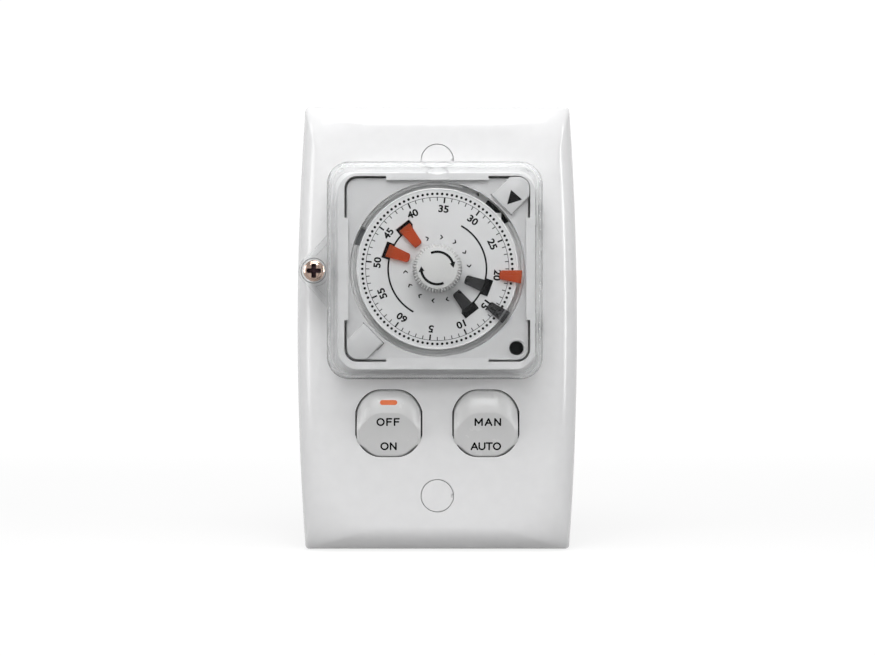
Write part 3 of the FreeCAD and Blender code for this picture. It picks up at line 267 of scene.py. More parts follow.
def plate_contour(inset):
    """The plate's outline drawn in by an inset, its corners rounder the further in it lies."""
    corner = OUTER_CORNER + (INNER_CORNER - OUTER_CORNER) * inset / PILLOW
    half_height = PLATE_HALF_HEIGHT - inset
    reach = SIDE_RADIUS - inset
    side_end = (half_height - corner) / (1 - corner / reach)
    lean = math.asin(side_end / reach)
    side_x = PLATE_HALF_WIDTH - SIDE_RADIUS
    middle_x = side_x + (reach - corner) * math.cos(lean)
    middle_z = (reach - corner) * math.sin(lean)
    quarter = []
    for step in range(SIDE_STEPS):
        angle = lean * step / SIDE_STEPS
        quarter.append((side_x + reach * math.cos(angle), reach * math.sin(angle)))
    for step in range(CORNER_STEPS + 1):
        angle = lean + (math.pi / 2 - lean) * step / CORNER_STEPS
        quarter.append((middle_x + corner * math.cos(angle), middle_z + corner * math.sin(angle)))
    quarter += [(middle_x * (1 - step / END_STEPS), half_height)
                for step in range(1, END_STEPS + 1)]
    left = [(-x, z) for x, z in reversed(quarter[:-1])]
    upper = quarter + left
    return upper + [(x, -z) for x, z in reversed(upper[1:-1])]


def skin(count, rings, start=0, closed=False):
    """The faces that join each ring of points to the next, and the last to the first if closed."""
    faces = []
    for ring in range(rings if closed else rings - 1):
        near, far = start + ring * count, start + (ring + 1) % rings * count
        for i in range(count):
            following = (i + 1) % count
            faces.append((near + i, near + following, far + following, far + i))
    return faces


def pillow_block():
    """A solid block with the plate's rounded front."""
    rings = [(BEHIND, 0.0)]
    for step in range(PILLOW_STEPS + 1):
        angle = math.pi / 2 * step / PILLOW_STEPS
        level = PLATE_EDGE + (PLATE_FRONT - PLATE_EDGE) * math.sin(angle)
        rings.append((level, PILLOW * (1 - math.cos(angle))))
    rings.append((PLATE_FRONT, PILLOW + FLAT_MARGIN))
    points = [Vector((x, -level, z)) * MM
              for level, inset in rings for x, z in plate_contour(inset)]
    count = len(points) // len(rings)
    faces = skin(count, len(rings))
    faces += [tuple(range(count)), tuple(range(len(points) - count, len(points)))]
    return mesh_object("pillow_block", points, faces)


def built_mesh(thing):
    """The mesh of a piece, or of a text, with its modifiers run."""
    depsgraph = bpy.context.evaluated_depsgraph_get()
    return bpy.data.meshes.new_from_object(thing.evaluated_get(depsgraph))


white_gloss = finish("white_gloss", PLATE_WHITE, 0.16, relief=0.00001, relief_patch=40.0, IOR=1.5)
built = nodes["wall_plate"].data
plate = mesh_object("plate_moulding", [vertex.co.copy() for vertex in built.vertices],
                    [tuple(polygon.vertices) for polygon in built.polygons])
block = pillow_block()
shared = plate.modifiers.new("shared", "BOOLEAN")
shared.operation = "INTERSECT"
shared.solver = "EXACT"
shared.object = block
mesh = built_mesh(plate)
plate.modifiers.clear()
plate.data = mesh
bpy.data.objects.remove(block)
shade(plate)
plate.data.materials.clear()
plate.data.materials.append(white_gloss)
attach(plate, "plate")
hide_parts("wall_plate")


# The screw caps: thin discs snapped over the two fixing screws, in the plate's own plastic.
# Each has a small notch at its right to prise it out by.
dress(finish("cap_white", PLATE_WHITE, 0.2, relief=0.000006, relief_patch=60.0),
      "screw_cap_top", "screw_cap_bottom")


# The rear of the switches: grey moulded boxes staked to the plate, with brass terminals whose
# clamp screws are zinc plated. Inside each runs a sprung plunger on a rocking brass contact.
case_grey = finish("case_grey", (0.30, 0.31, 0.32), 0.45, mottle=0.05,
                   relief=0.00003, relief_patch=2500.0)
brass = finish("turned_brass", (0.74, 0.55, 0.27), 0.28, mottle=0.08,
               relief=0.00001, relief_patch=3000.0, Metallic=1.0)
zinc = finish("zinc_plate", (0.62, 0.63, 0.64), 0.33, mottle=0.07,
              relief=0.00001, relief_patch=3000.0, Metallic=1.0)
acetal = finish("acetal", (0.78, 0.75, 0.66), 0.4, mottle=0.02)
for side in ("left", "right"):
    dress(case_grey, f"switch_body_{side}")
    dress(brass, f"switch_line_{side}_terminal", f"switch_load_{side}_terminal",
          f"moving_contact_{side}")
    dress(zinc, f"switch_line_{side}_screw", f"switch_load_{side}_screw", f"plunger_spring_{side}")
    dress(acetal, f"plunger_{side}")


# The rockers: white barrels that turn about a line behind the plate. A flat oval face is cut
# across each, and its edge is softened by the mould.
ROCKERS = {"left": -12.15, "right": 12.15}
PIVOT_LEVEL = -0.5
PIVOT_Z = -23.86
ROCKER_TILT = math.radians(14.4)
ROCKER_HALF = 8.0
BARREL = 12.7
SHOULDER = 8.5
SHOULDER_X = 1.8
FACE_LEVEL = 11.34
BACK_LEVEL = 6.5
SOFT_EDGE = 0.1
ROCKER_COLUMNS, ROCKER_ROWS = 90, 240
FULL_CHEEK = 0.65
FULL_FROM, FULL_TO = (-36.0, -26.0), (-10.0, 12.0)
FULL_DROP = 1.2


def soft_least(first, second, width):
    """The lesser of two levels, with the corner between them rounded."""
    overlap = max(width - abs(first - second), 0.0)
    return min(first, second) - overlap * overlap / (4 * width)


def eased(value, start, end):
    """A share that goes smoothly from 0 at start to 1 at end."""
    share = min(max((value - start) / (end - start), 0.0), 1.0)
    return share * share * (3 - 2 * share)


def barrel_radius(x, angle):
    """The barrel's radius: it falls away to the sides, less so beside the face's lower part."""
    reach = max(abs(x) - SHOULDER_X, 0.0)
    drop = SHOULDER - math.sqrt(SHOULDER ** 2 - reach ** 2)
    turn = math.degrees(angle - ROCKER_TILT)
    full = eased(turn, *FULL_FROM) * (1 - eased(turn, *FULL_TO))
    return BARREL - drop * (1 - (1 - FULL_CHEEK) * full * eased(drop, 0.0, FULL_DROP))


def on_rocker(x, level, along, pivot_x):
    """A point given by its level out of the rocker's face and its place along that face."""
    out = level * math.cos(ROCKER_TILT) + along * math.sin(ROCKER_TILT)
    up = along * math.cos(ROCKER_TILT) - level * math.sin(ROCKER_TILT)
    return Vector((pivot_x + x, -(PIVOT_LEVEL + out), PIVOT_Z + up)) * MM


def rocker_mesh(name, pivot_x):
    """The barrel with its flat face, closed at its back and sides."""
    columns, rows = ROCKER_COLUMNS, ROCKER_ROWS
    points, faces = [], []
    for column in range(columns + 1):
        x = ROCKER_HALF * math.sin(math.pi / 2 * (2 * column / columns - 1))
        limit = math.acos(BACK_LEVEL / barrel_radius(x, math.pi / 2))
        for row in range(rows + 1):
            angle = limit * (2 * row / rows - 1)
            distance = soft_least(barrel_radius(x, angle), FACE_LEVEL / math.cos(angle), SOFT_EDGE)
            if row in (0, rows):
                distance = BACK_LEVEL / math.cos(angle)
            points.append(on_rocker(x, distance * math.cos(angle), distance * math.sin(angle),
                                    pivot_x))
    stride = rows + 1
    for column in range(columns):
        for row in range(rows):
            corner = column * stride + row
            faces.append((corner, corner + 1, corner + stride + 1, corner + stride))
    last = columns * stride
    faces.append(tuple(range(stride)))
    faces.append(tuple(range(last, last + stride)))
    faces.append(tuple([c * stride for c in range(columns + 1)]
                       + [c * stride + rows for c in range(columns, -1, -1)]))
    return mesh_object(name, points, faces, 50.0)


# Greyer than the plate, though the same plastic: painted shade from the cover above.
rocker_white = finish("rocker_white", (0.70, 0.70, 0.70), 0.25, relief=0.000006, relief_patch=80.0)
for side, pivot_x in ROCKERS.items():
    shell = rocker_mesh(f"rocker_shell_{side}", pivot_x)
    shell.data.materials.append(rocker_white)
    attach(shell, f"rocker_body_{side}")
    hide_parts(f"rocker_{side}")


# The painted shade in each rocker's opening: a thin black sheet a hair inside the plate's edge,
# which paints the gap round the rocker as a black line of shade.
SHADE_SHEET_LEVELS = (5.2, 6.8, 8.2, 9.44)
SHADE_SHEET_NEAR, SHADE_SHEET_FAR = 0.28, 0.46
SHADE_SHEET_SIDES = 60


def opening_loop(grown, level, pivot_x):
    """The outline of a rocker, grown by a margin, where it passes through a level of the plate."""
    half = ROCKER_HALF + grown
    upper = []
    for step in range(SHADE_SHEET_SIDES + 1):
        x = half * math.cos(math.pi * step / SHADE_SHEET_SIDES)
        reach = max(abs(x) - SHOULDER_X - grown / 2, 0.0)
        radius = BARREL - SHOULDER + math.sqrt((SHOULDER + grown) ** 2 - reach ** 2)
        rise = math.sqrt(max(radius ** 2 - (level - PIVOT_LEVEL) ** 2, 0.0))
        upper.append((pivot_x + x, rise))
    loop = upper + [(x, -rise) for x, rise in reversed(upper)]
    return [Vector((x, -level, PIVOT_Z + rise)) * MM for x, rise in loop]


# Black for the spindle and the tab joints, and the painted shade in the rocker gaps.
black_and_gap_shade = finish("black_and_gap_shade", (0.003, 0.003, 0.0033), 0.8, mottle=0.1, Specular_IOR_Level=0.05)
for side, pivot_x in ROCKERS.items():
    loops = [opening_loop(SHADE_SHEET_FAR, level, pivot_x) for level in SHADE_SHEET_LEVELS]
    loops += [opening_loop(SHADE_SHEET_NEAR, level, pivot_x) for level in reversed(SHADE_SHEET_LEVELS)]
    gap_shade_sheet = mesh_object(f"opening_lining_{side}", sum(loops, []),
                         skin(len(loops[0]), len(loops), closed=True), 30.0)
    gap_shade_sheet.data.materials.append(black_and_gap_shade)
    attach(gap_shade_sheet, "plate")


# The words on the rockers: thin rounded letters, pad printed in black. Each letter is a few
# pen strokes, so that it has the round ends of the real print.
LETTER_HEIGHT = 2.1
PEN = 0.41
INK = 0.012
LETTERS = {
    # width, then strokes in a box one unit high
    "O": (0.80, [[(0.40 + 0.40 * math.sin(a), 0.5 + 0.5 * math.cos(a))
                  for a in [math.tau * i / 28 for i in range(29)]]]),
    "F": (0.54, [[(0.54, 1), (0, 1), (0, 0)], [(0, 0.53), (0.46, 0.53)]]),
    "N": (0.64, [[(0, 0), (0, 1), (0.64, 0), (0.64, 1)]]),
    "M": (0.80, [[(0, 0), (0, 1), (0.40, 0.28), (0.80, 1), (0.80, 0)]]),
    "A": (0.74, [[(0, 0), (0.37, 1), (0.74, 0)], [(0.13, 0.34), (0.61, 0.34)]]),
    "U": (0.66, [[(0, 1), (0, 0.36)]
                 + [(0.33 - 0.33 * math.cos(a), 0.36 - 0.36 * math.sin(a))
                    for a in [math.pi * i / 12 for i in range(13)]] + [(0.66, 1)]]),
    "T": (0.68, [[(0, 1), (0.68, 1)], [(0.34, 1), (0.34, 0)]]),
}
WORDS = (
    # side, word, middle along x, middle along the face, full width
    ("left", "OFF", -0.1, 3.34, 5.85),
    ("left", "ON", -0.05, -3.01, 4.1),
    ("right", "MAN", 0.45, 3.34, 6.65),
    ("right", "AUTO", 0.0, -3.01, 7.65),
)


def pen_stroke(path, width, arc_steps=6):
    """The flat outline of one pen stroke with round ends and corners, as loops of (u, v) points."""
    loops = []
    half = width / 2
    for (u0, v0), (u1, v1) in zip(path, path[1:]):
        heading = math.atan2(v1 - v0, u1 - u0)
        loop = []
        for u, v, start in ((u0, v0, heading + math.pi / 2), (u1, v1, heading - math.pi / 2)):
            for step in range(arc_steps + 1):
                angle = start + math.pi * step / arc_steps
                loop.append((u + half * math.cos(angle), v + half * math.sin(angle)))
        loops.append(loop)
    return loops


def print_mesh(name, loops, place, thickness=INK):
    """Ink: each flat loop raised by the ink's thickness over the surface that place() describes."""
    points, faces = [], []
    for loop in loops:
        base, count = len(points), len(loop)
        for height in (0.0, thickness):
            points += [place(u, v, height) for u, v in loop]
        faces.append(tuple(base + count - 1 - i for i in range(count)))
        faces.append(tuple(base + count + i for i in range(count)))
        faces += skin(count, 2, base)
    mesh = bpy.data.meshes.new(name)
    mesh.from_pydata([tuple(point) for point in points], [], faces)
    mend(mesh)
    return put_in_scene(name, mesh)


black_ink_and_shade = finish("black_ink_and_shade", (0.007, 0.007, 0.0075), 0.7, mottle=0.2, Specular_IOR_Level=0.08)
for side, word, middle, along, full_width in WORDS:
    widths = [LETTERS[letter][0] * LETTER_HEIGHT for letter in word]
    gap = (full_width - PEN - sum(widths)) / (len(word) - 1)
    start = middle - (full_width - PEN) / 2
    loops = []
    for letter, width in zip(word, widths):
        for stroke in LETTERS[letter][1]:
            tall = LETTER_HEIGHT - PEN
            path = [(start + u * LETTER_HEIGHT, along - tall / 2 + v * tall) for u, v in stroke]
            loops += pen_stroke(path, PEN)
        start += width + gap
    pivot_x = ROCKERS[side]
    letters = print_mesh(f"word_{word.lower()}", loops,
                         lambda u, v, height: on_rocker(u, FACE_LEVEL + height, v, pivot_x))
    letters.data.materials.append(black_ink_and_shade)
    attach(letters, f"rocker_body_{side}")


# The indicator: a small orange bar let into the left rocker's barrel, above its face. It shows
# when that rocker is off.
orange = finish("indicator_orange", (0.80, 0.19, 0.065), 0.4, mottle=0.03, Specular_IOR_Level=0.2)
dress(orange, "indicator_bar")


# The timer case and what is in it: a deep grey box behind the plate on four screwed ears, a gear
# plate, the motor can, plastic gears on steel axles and a microswitch.
# Black for real parts, and for the painted shade in the well's window and under the dial's slots.
black_plastic_and_shade = finish("black_plastic_and_shade", (0.014, 0.014, 0.015), 0.5, mottle=0.1, relief=0.00002,
                       relief_patch=2500.0, Specular_IOR_Level=0.12)
dress(case_grey, "timer_case")
dress(zinc, "case_screw_1", "case_screw_2", "case_screw_3", "case_screw_4", "gear_plate",
      "idler_axle", "motor_can", "dial_spindle", "timer_line_screw", "timer_load_screw")
dress(brass, "motor_pinion", "timer_line_terminal", "timer_load_terminal")
dress(acetal, "dial_gear", "idler_gear", "microswitch_plunger")
dress(black_plastic_and_shade, "microswitch_body")


# The fascia: the satin white panel behind the surround, moulded with a round well for the dial.
# On the well's floor are two low steps and the pale apron that hides the lever's slot. Two raised
# corner tabs are on the panel, and a black slotted spindle turns in a rim at its lower right.
TIMER_Z = 14.6
PANEL_LEVEL = 14.0
WELL_LEVEL = 10.0
# The well's brighter white is painted light, lifting the shade in the deep well.
WELL_PAINTED_LIGHT = (0.93, 0.93, 0.93, 1)
WELL_FROM, WELL_FULL = 0.1, 0.4
# Greyer than the plate's white: painted shade under the cover, on top of the shadow it casts.
satin_white = finish("satin_white", (0.52, 0.52, 0.525), 0.35, relief=0.000008, relief_patch=500.0)


def bright_well(material):
    """The same plastic, with painted light in the well below the panel: a brighter white there."""
    lighter_white = material.copy()
    lighter_white.name = "fascia_white"
    tree = lighter_white.node_tree
    shader = tree.nodes["Principled BSDF"]
    panel = shader.inputs["Base Color"].links[0].from_socket
    place = tree.nodes.new("ShaderNodeTexCoord")
    depth = tree.nodes.new("ShaderNodeSeparateXYZ")
    tree.links.new(place.outputs["Object"], depth.inputs[0])
    within = graded(tree, depth.outputs["Y"],
                    [-(PANEL_LEVEL - below) * MM for below in (WELL_FROM, WELL_FULL)])
    both = tree.nodes.new("ShaderNodeMix")
    both.data_type = "RGBA"
    tree.links.new(within, both.inputs["Factor"])
    tree.links.new(panel, both.inputs[6])
    both.inputs[7].default_value = WELL_PAINTED_LIGHT
    tree.links.new(both.outputs[2], shader.inputs["Base Color"])
    return lighter_white


white_with_lit_well = bright_well(satin_white)
dress(white_with_lit_well, "timer_fascia", "trip_lever")
dress(black_and_gap_shade, "override_spindle")


def on_timer(x, z, level):
    """A point in front of the timer, from its middle, at a level in front of the wall."""
    return Vector((x, -level, TIMER_Z + z)) * MM


def slab(name, outline, low, high, round_over=0.0, segments=3):
    """A flat piece cut to an outline round the timer's middle, its edges rounded over."""
    count = len(outline)
    points = [on_timer(x, z, level) for level in (low, high) for x, z in outline]
    faces = [tuple(range(count)), tuple(range(count, 2 * count))] + skin(count, 2)
    thing = mesh_object(name, points, faces)
    if round_over:
        soften(thing, round_over, segments)
    return thing


def soften(thing, width, segments=3, angle=30.0):
    """Round over the sharp edges of a piece, as the mould does."""
    bevel = thing.modifiers.new("mould_edge", "BEVEL")
    bevel.width = width * MM
    bevel.segments = segments
    bevel.limit_method = "ANGLE"
    bevel.angle_limit = math.radians(angle)
    bevel.use_clamp_overlap = True
    mesh = built_mesh(thing)
    thing.modifiers.clear()
    thing.data = mesh
    shade(thing, 40.0)


TAB_SLOPE = 17.55
TAB_NEAR = 13.45
TAB_ROUND = 2.6
TAB_RISE = 0.9
TAB_EDGE = 22.3
TABS = (("pointer_tab", 22.75, 1), ("corner_tab", TAB_EDGE, -1))


def tab_outline(edge, turn):
    """A corner tab: one rounded corner at the panel's own corner, and two square ones in front of
    the dial."""
    slope = TAB_SLOPE + edge - TAB_EDGE
    middle = edge - TAB_ROUND
    points = [(edge - (slope - TAB_NEAR), TAB_NEAR), (edge, slope)]
    points += [(middle + TAB_ROUND * math.cos(a), middle + TAB_ROUND * math.sin(a))
               for a in [math.pi / 2 * i / 8 for i in range(9)]]
    points += [(slope, edge), (TAB_NEAR, edge - (slope - TAB_NEAR))]
    return [(x * turn, z * turn) for x, z in points]


for name, edge, turn in TABS:
    raised = slab(f"{name}_moulding", tab_outline(edge, turn), PANEL_LEVEL, PANEL_LEVEL + TAB_RISE,
                  round_over=0.2)
    raised.data.materials.append(satin_white)
    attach(raised, "plate")
    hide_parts(name)

JOINT_WIDTH = 0.15
JOINTS = (
    # name, corners of the line along the tab's edge
    ("pointer_joint", ((18.55, 13.2), (13.2, 18.55))),
    ("corner_joint", ((-18.4, -13.25), (-13.2, -18.4), (-14.9, -20.1))),
)
for name, line in JOINTS:
    loops = []
    for (x0, z0), (x1, z1) in zip(line, line[1:]):
        run = math.hypot(x1 - x0, z1 - z0)
        side_x = (z1 - z0) / run * JOINT_WIDTH / 2
        side_z = (x0 - x1) / run * JOINT_WIDTH / 2
        loops.append([(x0 + side_x, z0 + side_z), (x1 + side_x, z1 + side_z),
                      (x1 - side_x, z1 - side_z), (x0 - side_x, z0 - side_z)])
    joint = print_mesh(name, loops, lambda x, z, height: on_timer(x, z, PANEL_LEVEL + height))
    joint.data.materials.append(black_and_gap_shade)
    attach(joint, "plate")


def sector(inner, outer, start, end, steps):
    """A flat strip along an arc, between two radii and two angles in degrees."""
    angles = [math.radians(start + (end - start) * i / steps) for i in range(steps + 1)]
    return ([(outer * math.cos(a), outer * math.sin(a)) for a in angles]
            + [(inner * math.cos(a), inner * math.sin(a)) for a in reversed(angles)])


WELL_SPANS = ((72.5, 150.5), (163.5, 393.5))
WELL_STEPS = (
    # name, inner and outer radius, front level
    ("well_low_step", 20.2, 20.95, 10.9),
    ("well_high_step", 20.95, 21.62, 11.6),
)
for name, inner, outer, front in WELL_STEPS:
    for end_name, (start, end) in zip(("upper", "lower"), WELL_SPANS):
        step = slab(f"{name}_{end_name}", sector(inner, outer, start, end, 96),
                    WELL_LEVEL - 0.05, front, round_over=0.1, segments=2)
        step.data.materials.append(white_with_lit_well)
        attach(step, "plate")

# Under two openings in the well floor: black painted shade in the window, and a dark grey patch.
WINDOW_STRIPS = (
    # name, inner and outer radius, start and end angle, material, slot
    ("window_strip", 20.25, 21.5, 34.3, 53.7, black_plastic_and_shade, "black"),
    ("patch_strip", 20.25, 21.5, 151.3, 162.7, case_grey, "case_grey"),
)
STRIP_LEVELS = (WELL_LEVEL - 0.8, WELL_LEVEL - 0.05)
for name, inner, outer, start, end, material, slot in WINDOW_STRIPS:
    dark_strip = slab(name, sector(inner, outer, start, end, 16), *STRIP_LEVELS)
    dark_strip.data.materials.append(material)
    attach(dark_strip, "plate")

APRON = (19.0, 21.0, 57.0, 71.0)
APRON_LEVELS = (WELL_LEVEL + 0.04, WELL_LEVEL + 0.26)
apron = slab("lever_apron", sector(*APRON, 12), *APRON_LEVELS)
apron.data.materials.append(white_with_lit_well)
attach(apron, "lever")


def lathe(name, profile, middle, segments=96, ripple=None):
    """A turned piece: a profile of (radius, level) points spun about the middle (x, z). A radius of
    0 closes it, and ripple() may change the radius with the angle."""
    points, rows, faces = [], [], []
    for radius, level in profile:
        if radius == 0:
            rows.append([len(points)])
            points.append(Vector((middle[0], -level, middle[1])) * MM)
            continue
        rows.append(list(range(len(points), len(points) + segments)))
        for i in range(segments):
            angle = math.tau * i / segments
            reach = ripple(radius, angle) if ripple else radius
            points.append(Vector((middle[0] + reach * math.cos(angle), -level,
                                  middle[1] + reach * math.sin(angle))) * MM)
    for low, high in zip(rows, rows[1:]):
        for i in range(segments):
            following = (i + 1) % segments
            if len(low) == 1:
                faces.append((low[0], high[i], high[following]))
            elif len(high) == 1:
                faces.append((low[i], low[following], high[0]))
            else:
                faces.append((low[i], low[following], high[following], high[i]))
    if len(rows[0]) > 1 and len(rows[-1]) > 1:
        for i in range(segments):
            following = (i + 1) % segments
            faces.append((rows[0][i], rows[0][following], rows[-1][following], rows[-1][i]))
    return mesh_object(name, points, faces)


SPINDLE = (19.6, TIMER_Z - 19.6)
COLLAR_LOW, COLLAR_TOP = PANEL_LEVEL - 0.05, PANEL_LEVEL + 0.12
COLLAR_PROFILE = [(2.45, COLLAR_LOW), (2.05, COLLAR_LOW), (2.05, COLLAR_TOP), (2.45, COLLAR_TOP)]
spindle_rim = lathe("spindle_rim", COLLAR_PROFILE, SPINDLE, 48)
soften(spindle_rim, 0.06, 2)
spindle_rim.data.materials.append(satin_white)
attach(spindle_rim, "plate")

POINTER = [(18.2, 19.53), (17.26, 15.9), (20.94, 17.1)]
pointer = print_mesh("pointer_triangle", [POINTER],
                     lambda x, z, height: on_timer(x, z, PANEL_LEVEL + TAB_RISE + height))
pointer.data.materials.append(black_ink_and_shade)
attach(pointer, "plate")


# The surround: a square frame moulded in white plastic that stands up round the timer, with a
# thin lip at the middle of each side. Its pegs enter the plate, and its ears hold the two zinc
# plated pins that the cover swings on.
# Greyer than the plate's white: painted shade under the cover, on top of the shadow it casts.
dress(finish("surround_white", (0.60, 0.60, 0.605), 0.22, relief=0.000006, relief_patch=80.0),
      "timer_surround")
dress(zinc, "hinge_pin_top", "hinge_pin_bottom")


# The dial: a white moulded disc with a polished rim, pressed on its spindle. Round it are printed
# 96 dots, a thin circle, 60 ticks and the numbers 5 to 60, with two arcs and a ring of small
# turning marks inside them. A black ring behind it is painted shade: it makes the slots for the
# tappets' feet look dark.
DIAL_LEVEL = 14.6
DIAL_INK = 0.015
# Greyer than the plate's white: painted shade under the cover, on top of the shadow it casts.
dial_white = finish("dial_white", (0.60, 0.60, 0.605), 0.4, mottle=0.02,
                    relief=0.000006, relief_patch=400.0)
dress(dial_white, "dial_disc")


def ring_tree():
    """Copies of one item round the dial's middle: its turn goes up by a step for each copy."""
    tree = bpy.data.node_groups.new("ring_of_items", "GeometryNodeTree")
    face = tree.interface
    face.new_socket("Geometry", in_out="OUTPUT", socket_type="NodeSocketGeometry")
    for name, kind in (("Item", "Object"), ("Count", "Int"), ("Start", "Float"), ("Step", "Float"),
                       ("Middle", "Vector"), ("Finish", "Material")):
        face.new_socket(name, in_out="INPUT", socket_type="NodeSocket" + kind)
    add, link = tree.nodes.new, tree.links.new
    given, result = add("NodeGroupInput"), add("NodeGroupOutput")
    spots = add("GeometryNodePoints")
    link(given.outputs["Count"], spots.inputs["Count"])
    link(given.outputs["Middle"], spots.inputs["Position"])
    number = add("GeometryNodeInputIndex")
    turn = worked_out(tree, "MULTIPLY_ADD", number.outputs[0], given.outputs["Step"],
                      given.outputs["Start"])
    angles = add("ShaderNodeCombineXYZ")
    link(worked_out(tree, "MULTIPLY", turn, -1.0), angles.inputs["Y"])
    rotation = add("FunctionNodeEulerToRotation")
    link(angles.outputs[0], rotation.inputs[0])
    item = add("GeometryNodeObjectInfo")
    link(given.outputs["Item"], item.inputs["Object"])
    copies = add("GeometryNodeInstanceOnPoints")
    link(spots.outputs[0], copies.inputs["Points"])
    link(item.outputs["Geometry"], copies.inputs["Instance"])
    link(rotation.outputs[0], copies.inputs["Rotation"])
    real = add("GeometryNodeRealizeInstances")
    link(copies.outputs[0], real.inputs[0])
    coat = add("GeometryNodeSetMaterial")
    link(real.outputs[0], coat.inputs["Geometry"])
    link(given.outputs["Finish"], coat.inputs["Material"])
    link(coat.outputs[0], result.inputs[0])
    return tree


ring_nodes = ring_tree()


def ring_of(name, item, count, start, step, material):
    """The ring's tree run on one item that lies on the +X side of the middle. The item goes."""
    carrier = put_in_scene(name + "_carrier", bpy.data.meshes.new(name + "_carrier"))
    maker = carrier.modifiers.new("ring", "NODES")
    maker.node_group = ring_nodes
    values = {"Item": item, "Count": count, "Start": math.radians(start),
              "Step": math.radians(step), "Middle": (0.0, 0.0, TIMER_Z * MM), "Finish": material}
    for socket in ring_nodes.interface.items_tree:
        if socket.in_out == "INPUT":
            maker[socket.identifier] = values[socket.name]
    mesh = built_mesh(carrier)
    mesh.name = name
    thing = put_in_scene(name, mesh)
    for spent in (carrier, item):
        bpy.data.objects.remove(spent)
    return thing


def on_dial(x, z, height):
    """A point over the dial's face, from the dial's middle, before the ring puts it in place."""
    return Vector((x, -(DIAL_LEVEL + height), z)) * MM


def in_place(x, z, height):
    return on_timer(x, z, DIAL_LEVEL + height)


def disc(x, z, radius, steps=12):
    return [(x + radius * math.cos(a), z + radius * math.sin(a))
            for a in [math.tau * i / steps for i in range(steps)]]


def strip(inner, outer, half):
    return [(inner, -half), (outer, -half), (outer, half), (inner, half)]


DOT_RING = 18.55
DOT_RADIUS = 0.34
SCALE_RING = 17.7
MINOR_TICK, MAJOR_TICK = 16.8, 16.3
CHEVRON = [(8.45, -0.05), (7.9, -0.55), (7.35, -0.05), (7.35, 0.35), (7.9, -0.12), (8.45, 0.35)]
rings = (
    # name, drawn item, count, first angle, step
    ("dial_dots", disc(DOT_RING, 0, DOT_RADIUS), 96, 0.0, 3.75),
    ("dial_minor_ticks", strip(MINOR_TICK, SCALE_RING, 0.11), 60, 0.0, 6.0),
    ("dial_major_ticks", strip(MAJOR_TICK, SCALE_RING, 0.2), 12, 24.0, 30.0),
    ("dial_turning_marks", CHEVRON, 14, 6.0, 360.0 / 14),
)
for name, drawn, count, start, step in rings:
    item = print_mesh(name + "_item", [drawn], on_dial, DIAL_INK)
    marks = ring_of(name, item, count, start, step, black_ink_and_shade)
    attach(marks, "dial")

ARC_RING = 12.15
ARC_HALF = 0.22
CIRCLE_HALF = 0.06
HEAD_SPREAD = 0.55
ARC_STEP = 2


def arcs(name, body, radius, half, spans, place, heads=0.0):
    """Printed arcs, each from one angle clockwise to another, with an arrow head if asked."""
    loops = []
    for start, end in spans:
        steps = max(8, int(abs(end - start) / ARC_STEP))
        strip_loop = sector(radius - half, radius + half, start, end, steps)
        quads = [[strip_loop[i], strip_loop[i + 1], strip_loop[-2 - i], strip_loop[-1 - i]]
                 for i in range(steps)]
        loops += quads
        if heads:
            foot, wide = math.radians(end), heads * HEAD_SPREAD
            head = ((radius - wide, foot), (radius, foot - heads / radius), (radius + wide, foot))
            loops.append([(reach * math.cos(a), reach * math.sin(a)) for reach, a in head])
    drawn = print_mesh(name, loops, place, DIAL_INK)
    mend(drawn.data, 1e-8, outward=False)
    drawn.data.materials.append(black_ink_and_shade)
    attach(drawn, body)


arcs("dial_arcs", "dial", ARC_RING, ARC_HALF, ((61, -60), (241, 120)), in_place)
arcs("dial_scale_circle", "dial", SCALE_RING, CIRCLE_HALF, ((360, 0),), in_place)

NUMBERS = range(5, 65, 5)
TOP_NUMBER, TOP_ANGLE = 35, 84
NUMBER_RING = 14.9
NUMBER_HEIGHT = 1.85
NUMBER_WIDEN = 1.12
NUMBER_WEIGHT = 0.035


def number_loops(text):
    """The outline of a number in the built-in sans face, as a mesh of its own, one unit high."""
    curve = bpy.data.curves.new("number_" + text, "FONT")
    curve.body = text
    curve.align_x, curve.align_y = "CENTER", "CENTER"
    curve.size = 1.0
    curve.offset = NUMBER_WEIGHT
    curve.extrude = 0.5
    curve.resolution_u = 4
    writer = put_in_scene("number_" + text, curve)
    mesh = built_mesh(writer)
    bpy.data.objects.remove(writer)
    return mesh


def turned(x, z, angle):
    """A place beside the timer's middle, turned about it."""
    return (x * math.cos(angle) - z * math.sin(angle), x * math.sin(angle) + z * math.cos(angle))


made = bmesh.new()
for number in NUMBERS:
    mesh = number_loops(str(number))
    tall = max(v.co.y for v in mesh.vertices) - min(v.co.y for v in mesh.vertices)
    low = min(v.co.y for v in mesh.vertices) + tall / 2
    grow = NUMBER_HEIGHT / tall
    angle = math.radians(TOP_ANGLE + (number - TOP_NUMBER) * 6) - math.pi / 2
    for vertex in mesh.vertices:
        u, v = vertex.co.x * grow * NUMBER_WIDEN, (vertex.co.y - low) * grow + NUMBER_RING
        vertex.co = in_place(*turned(u, v, angle), (vertex.co.z + 0.5) * DIAL_INK)
    made.from_mesh(mesh)
mesh = bpy.data.meshes.new("dial_numbers")
made.to_mesh(mesh)
made.free()
mend(mesh, 1e-8)
numbers = put_in_scene("dial_numbers", mesh)
numbers.data.materials.append(black_ink_and_shade)
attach(numbers, "dial")

# A black ring under the disc: painted shade, seen through its slots.
SLOT_SHADE_PROFILE = [(9.6, 12.7), (14.6, 12.7), (14.6, 12.3), (9.6, 12.3)]
slot_shade_ring = lathe("dial_backing", SLOT_SHADE_PROFILE, (0, TIMER_Z))
slot_shade_ring.data.materials.append(black_plastic_and_shade)
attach(slot_shade_ring, "dial")

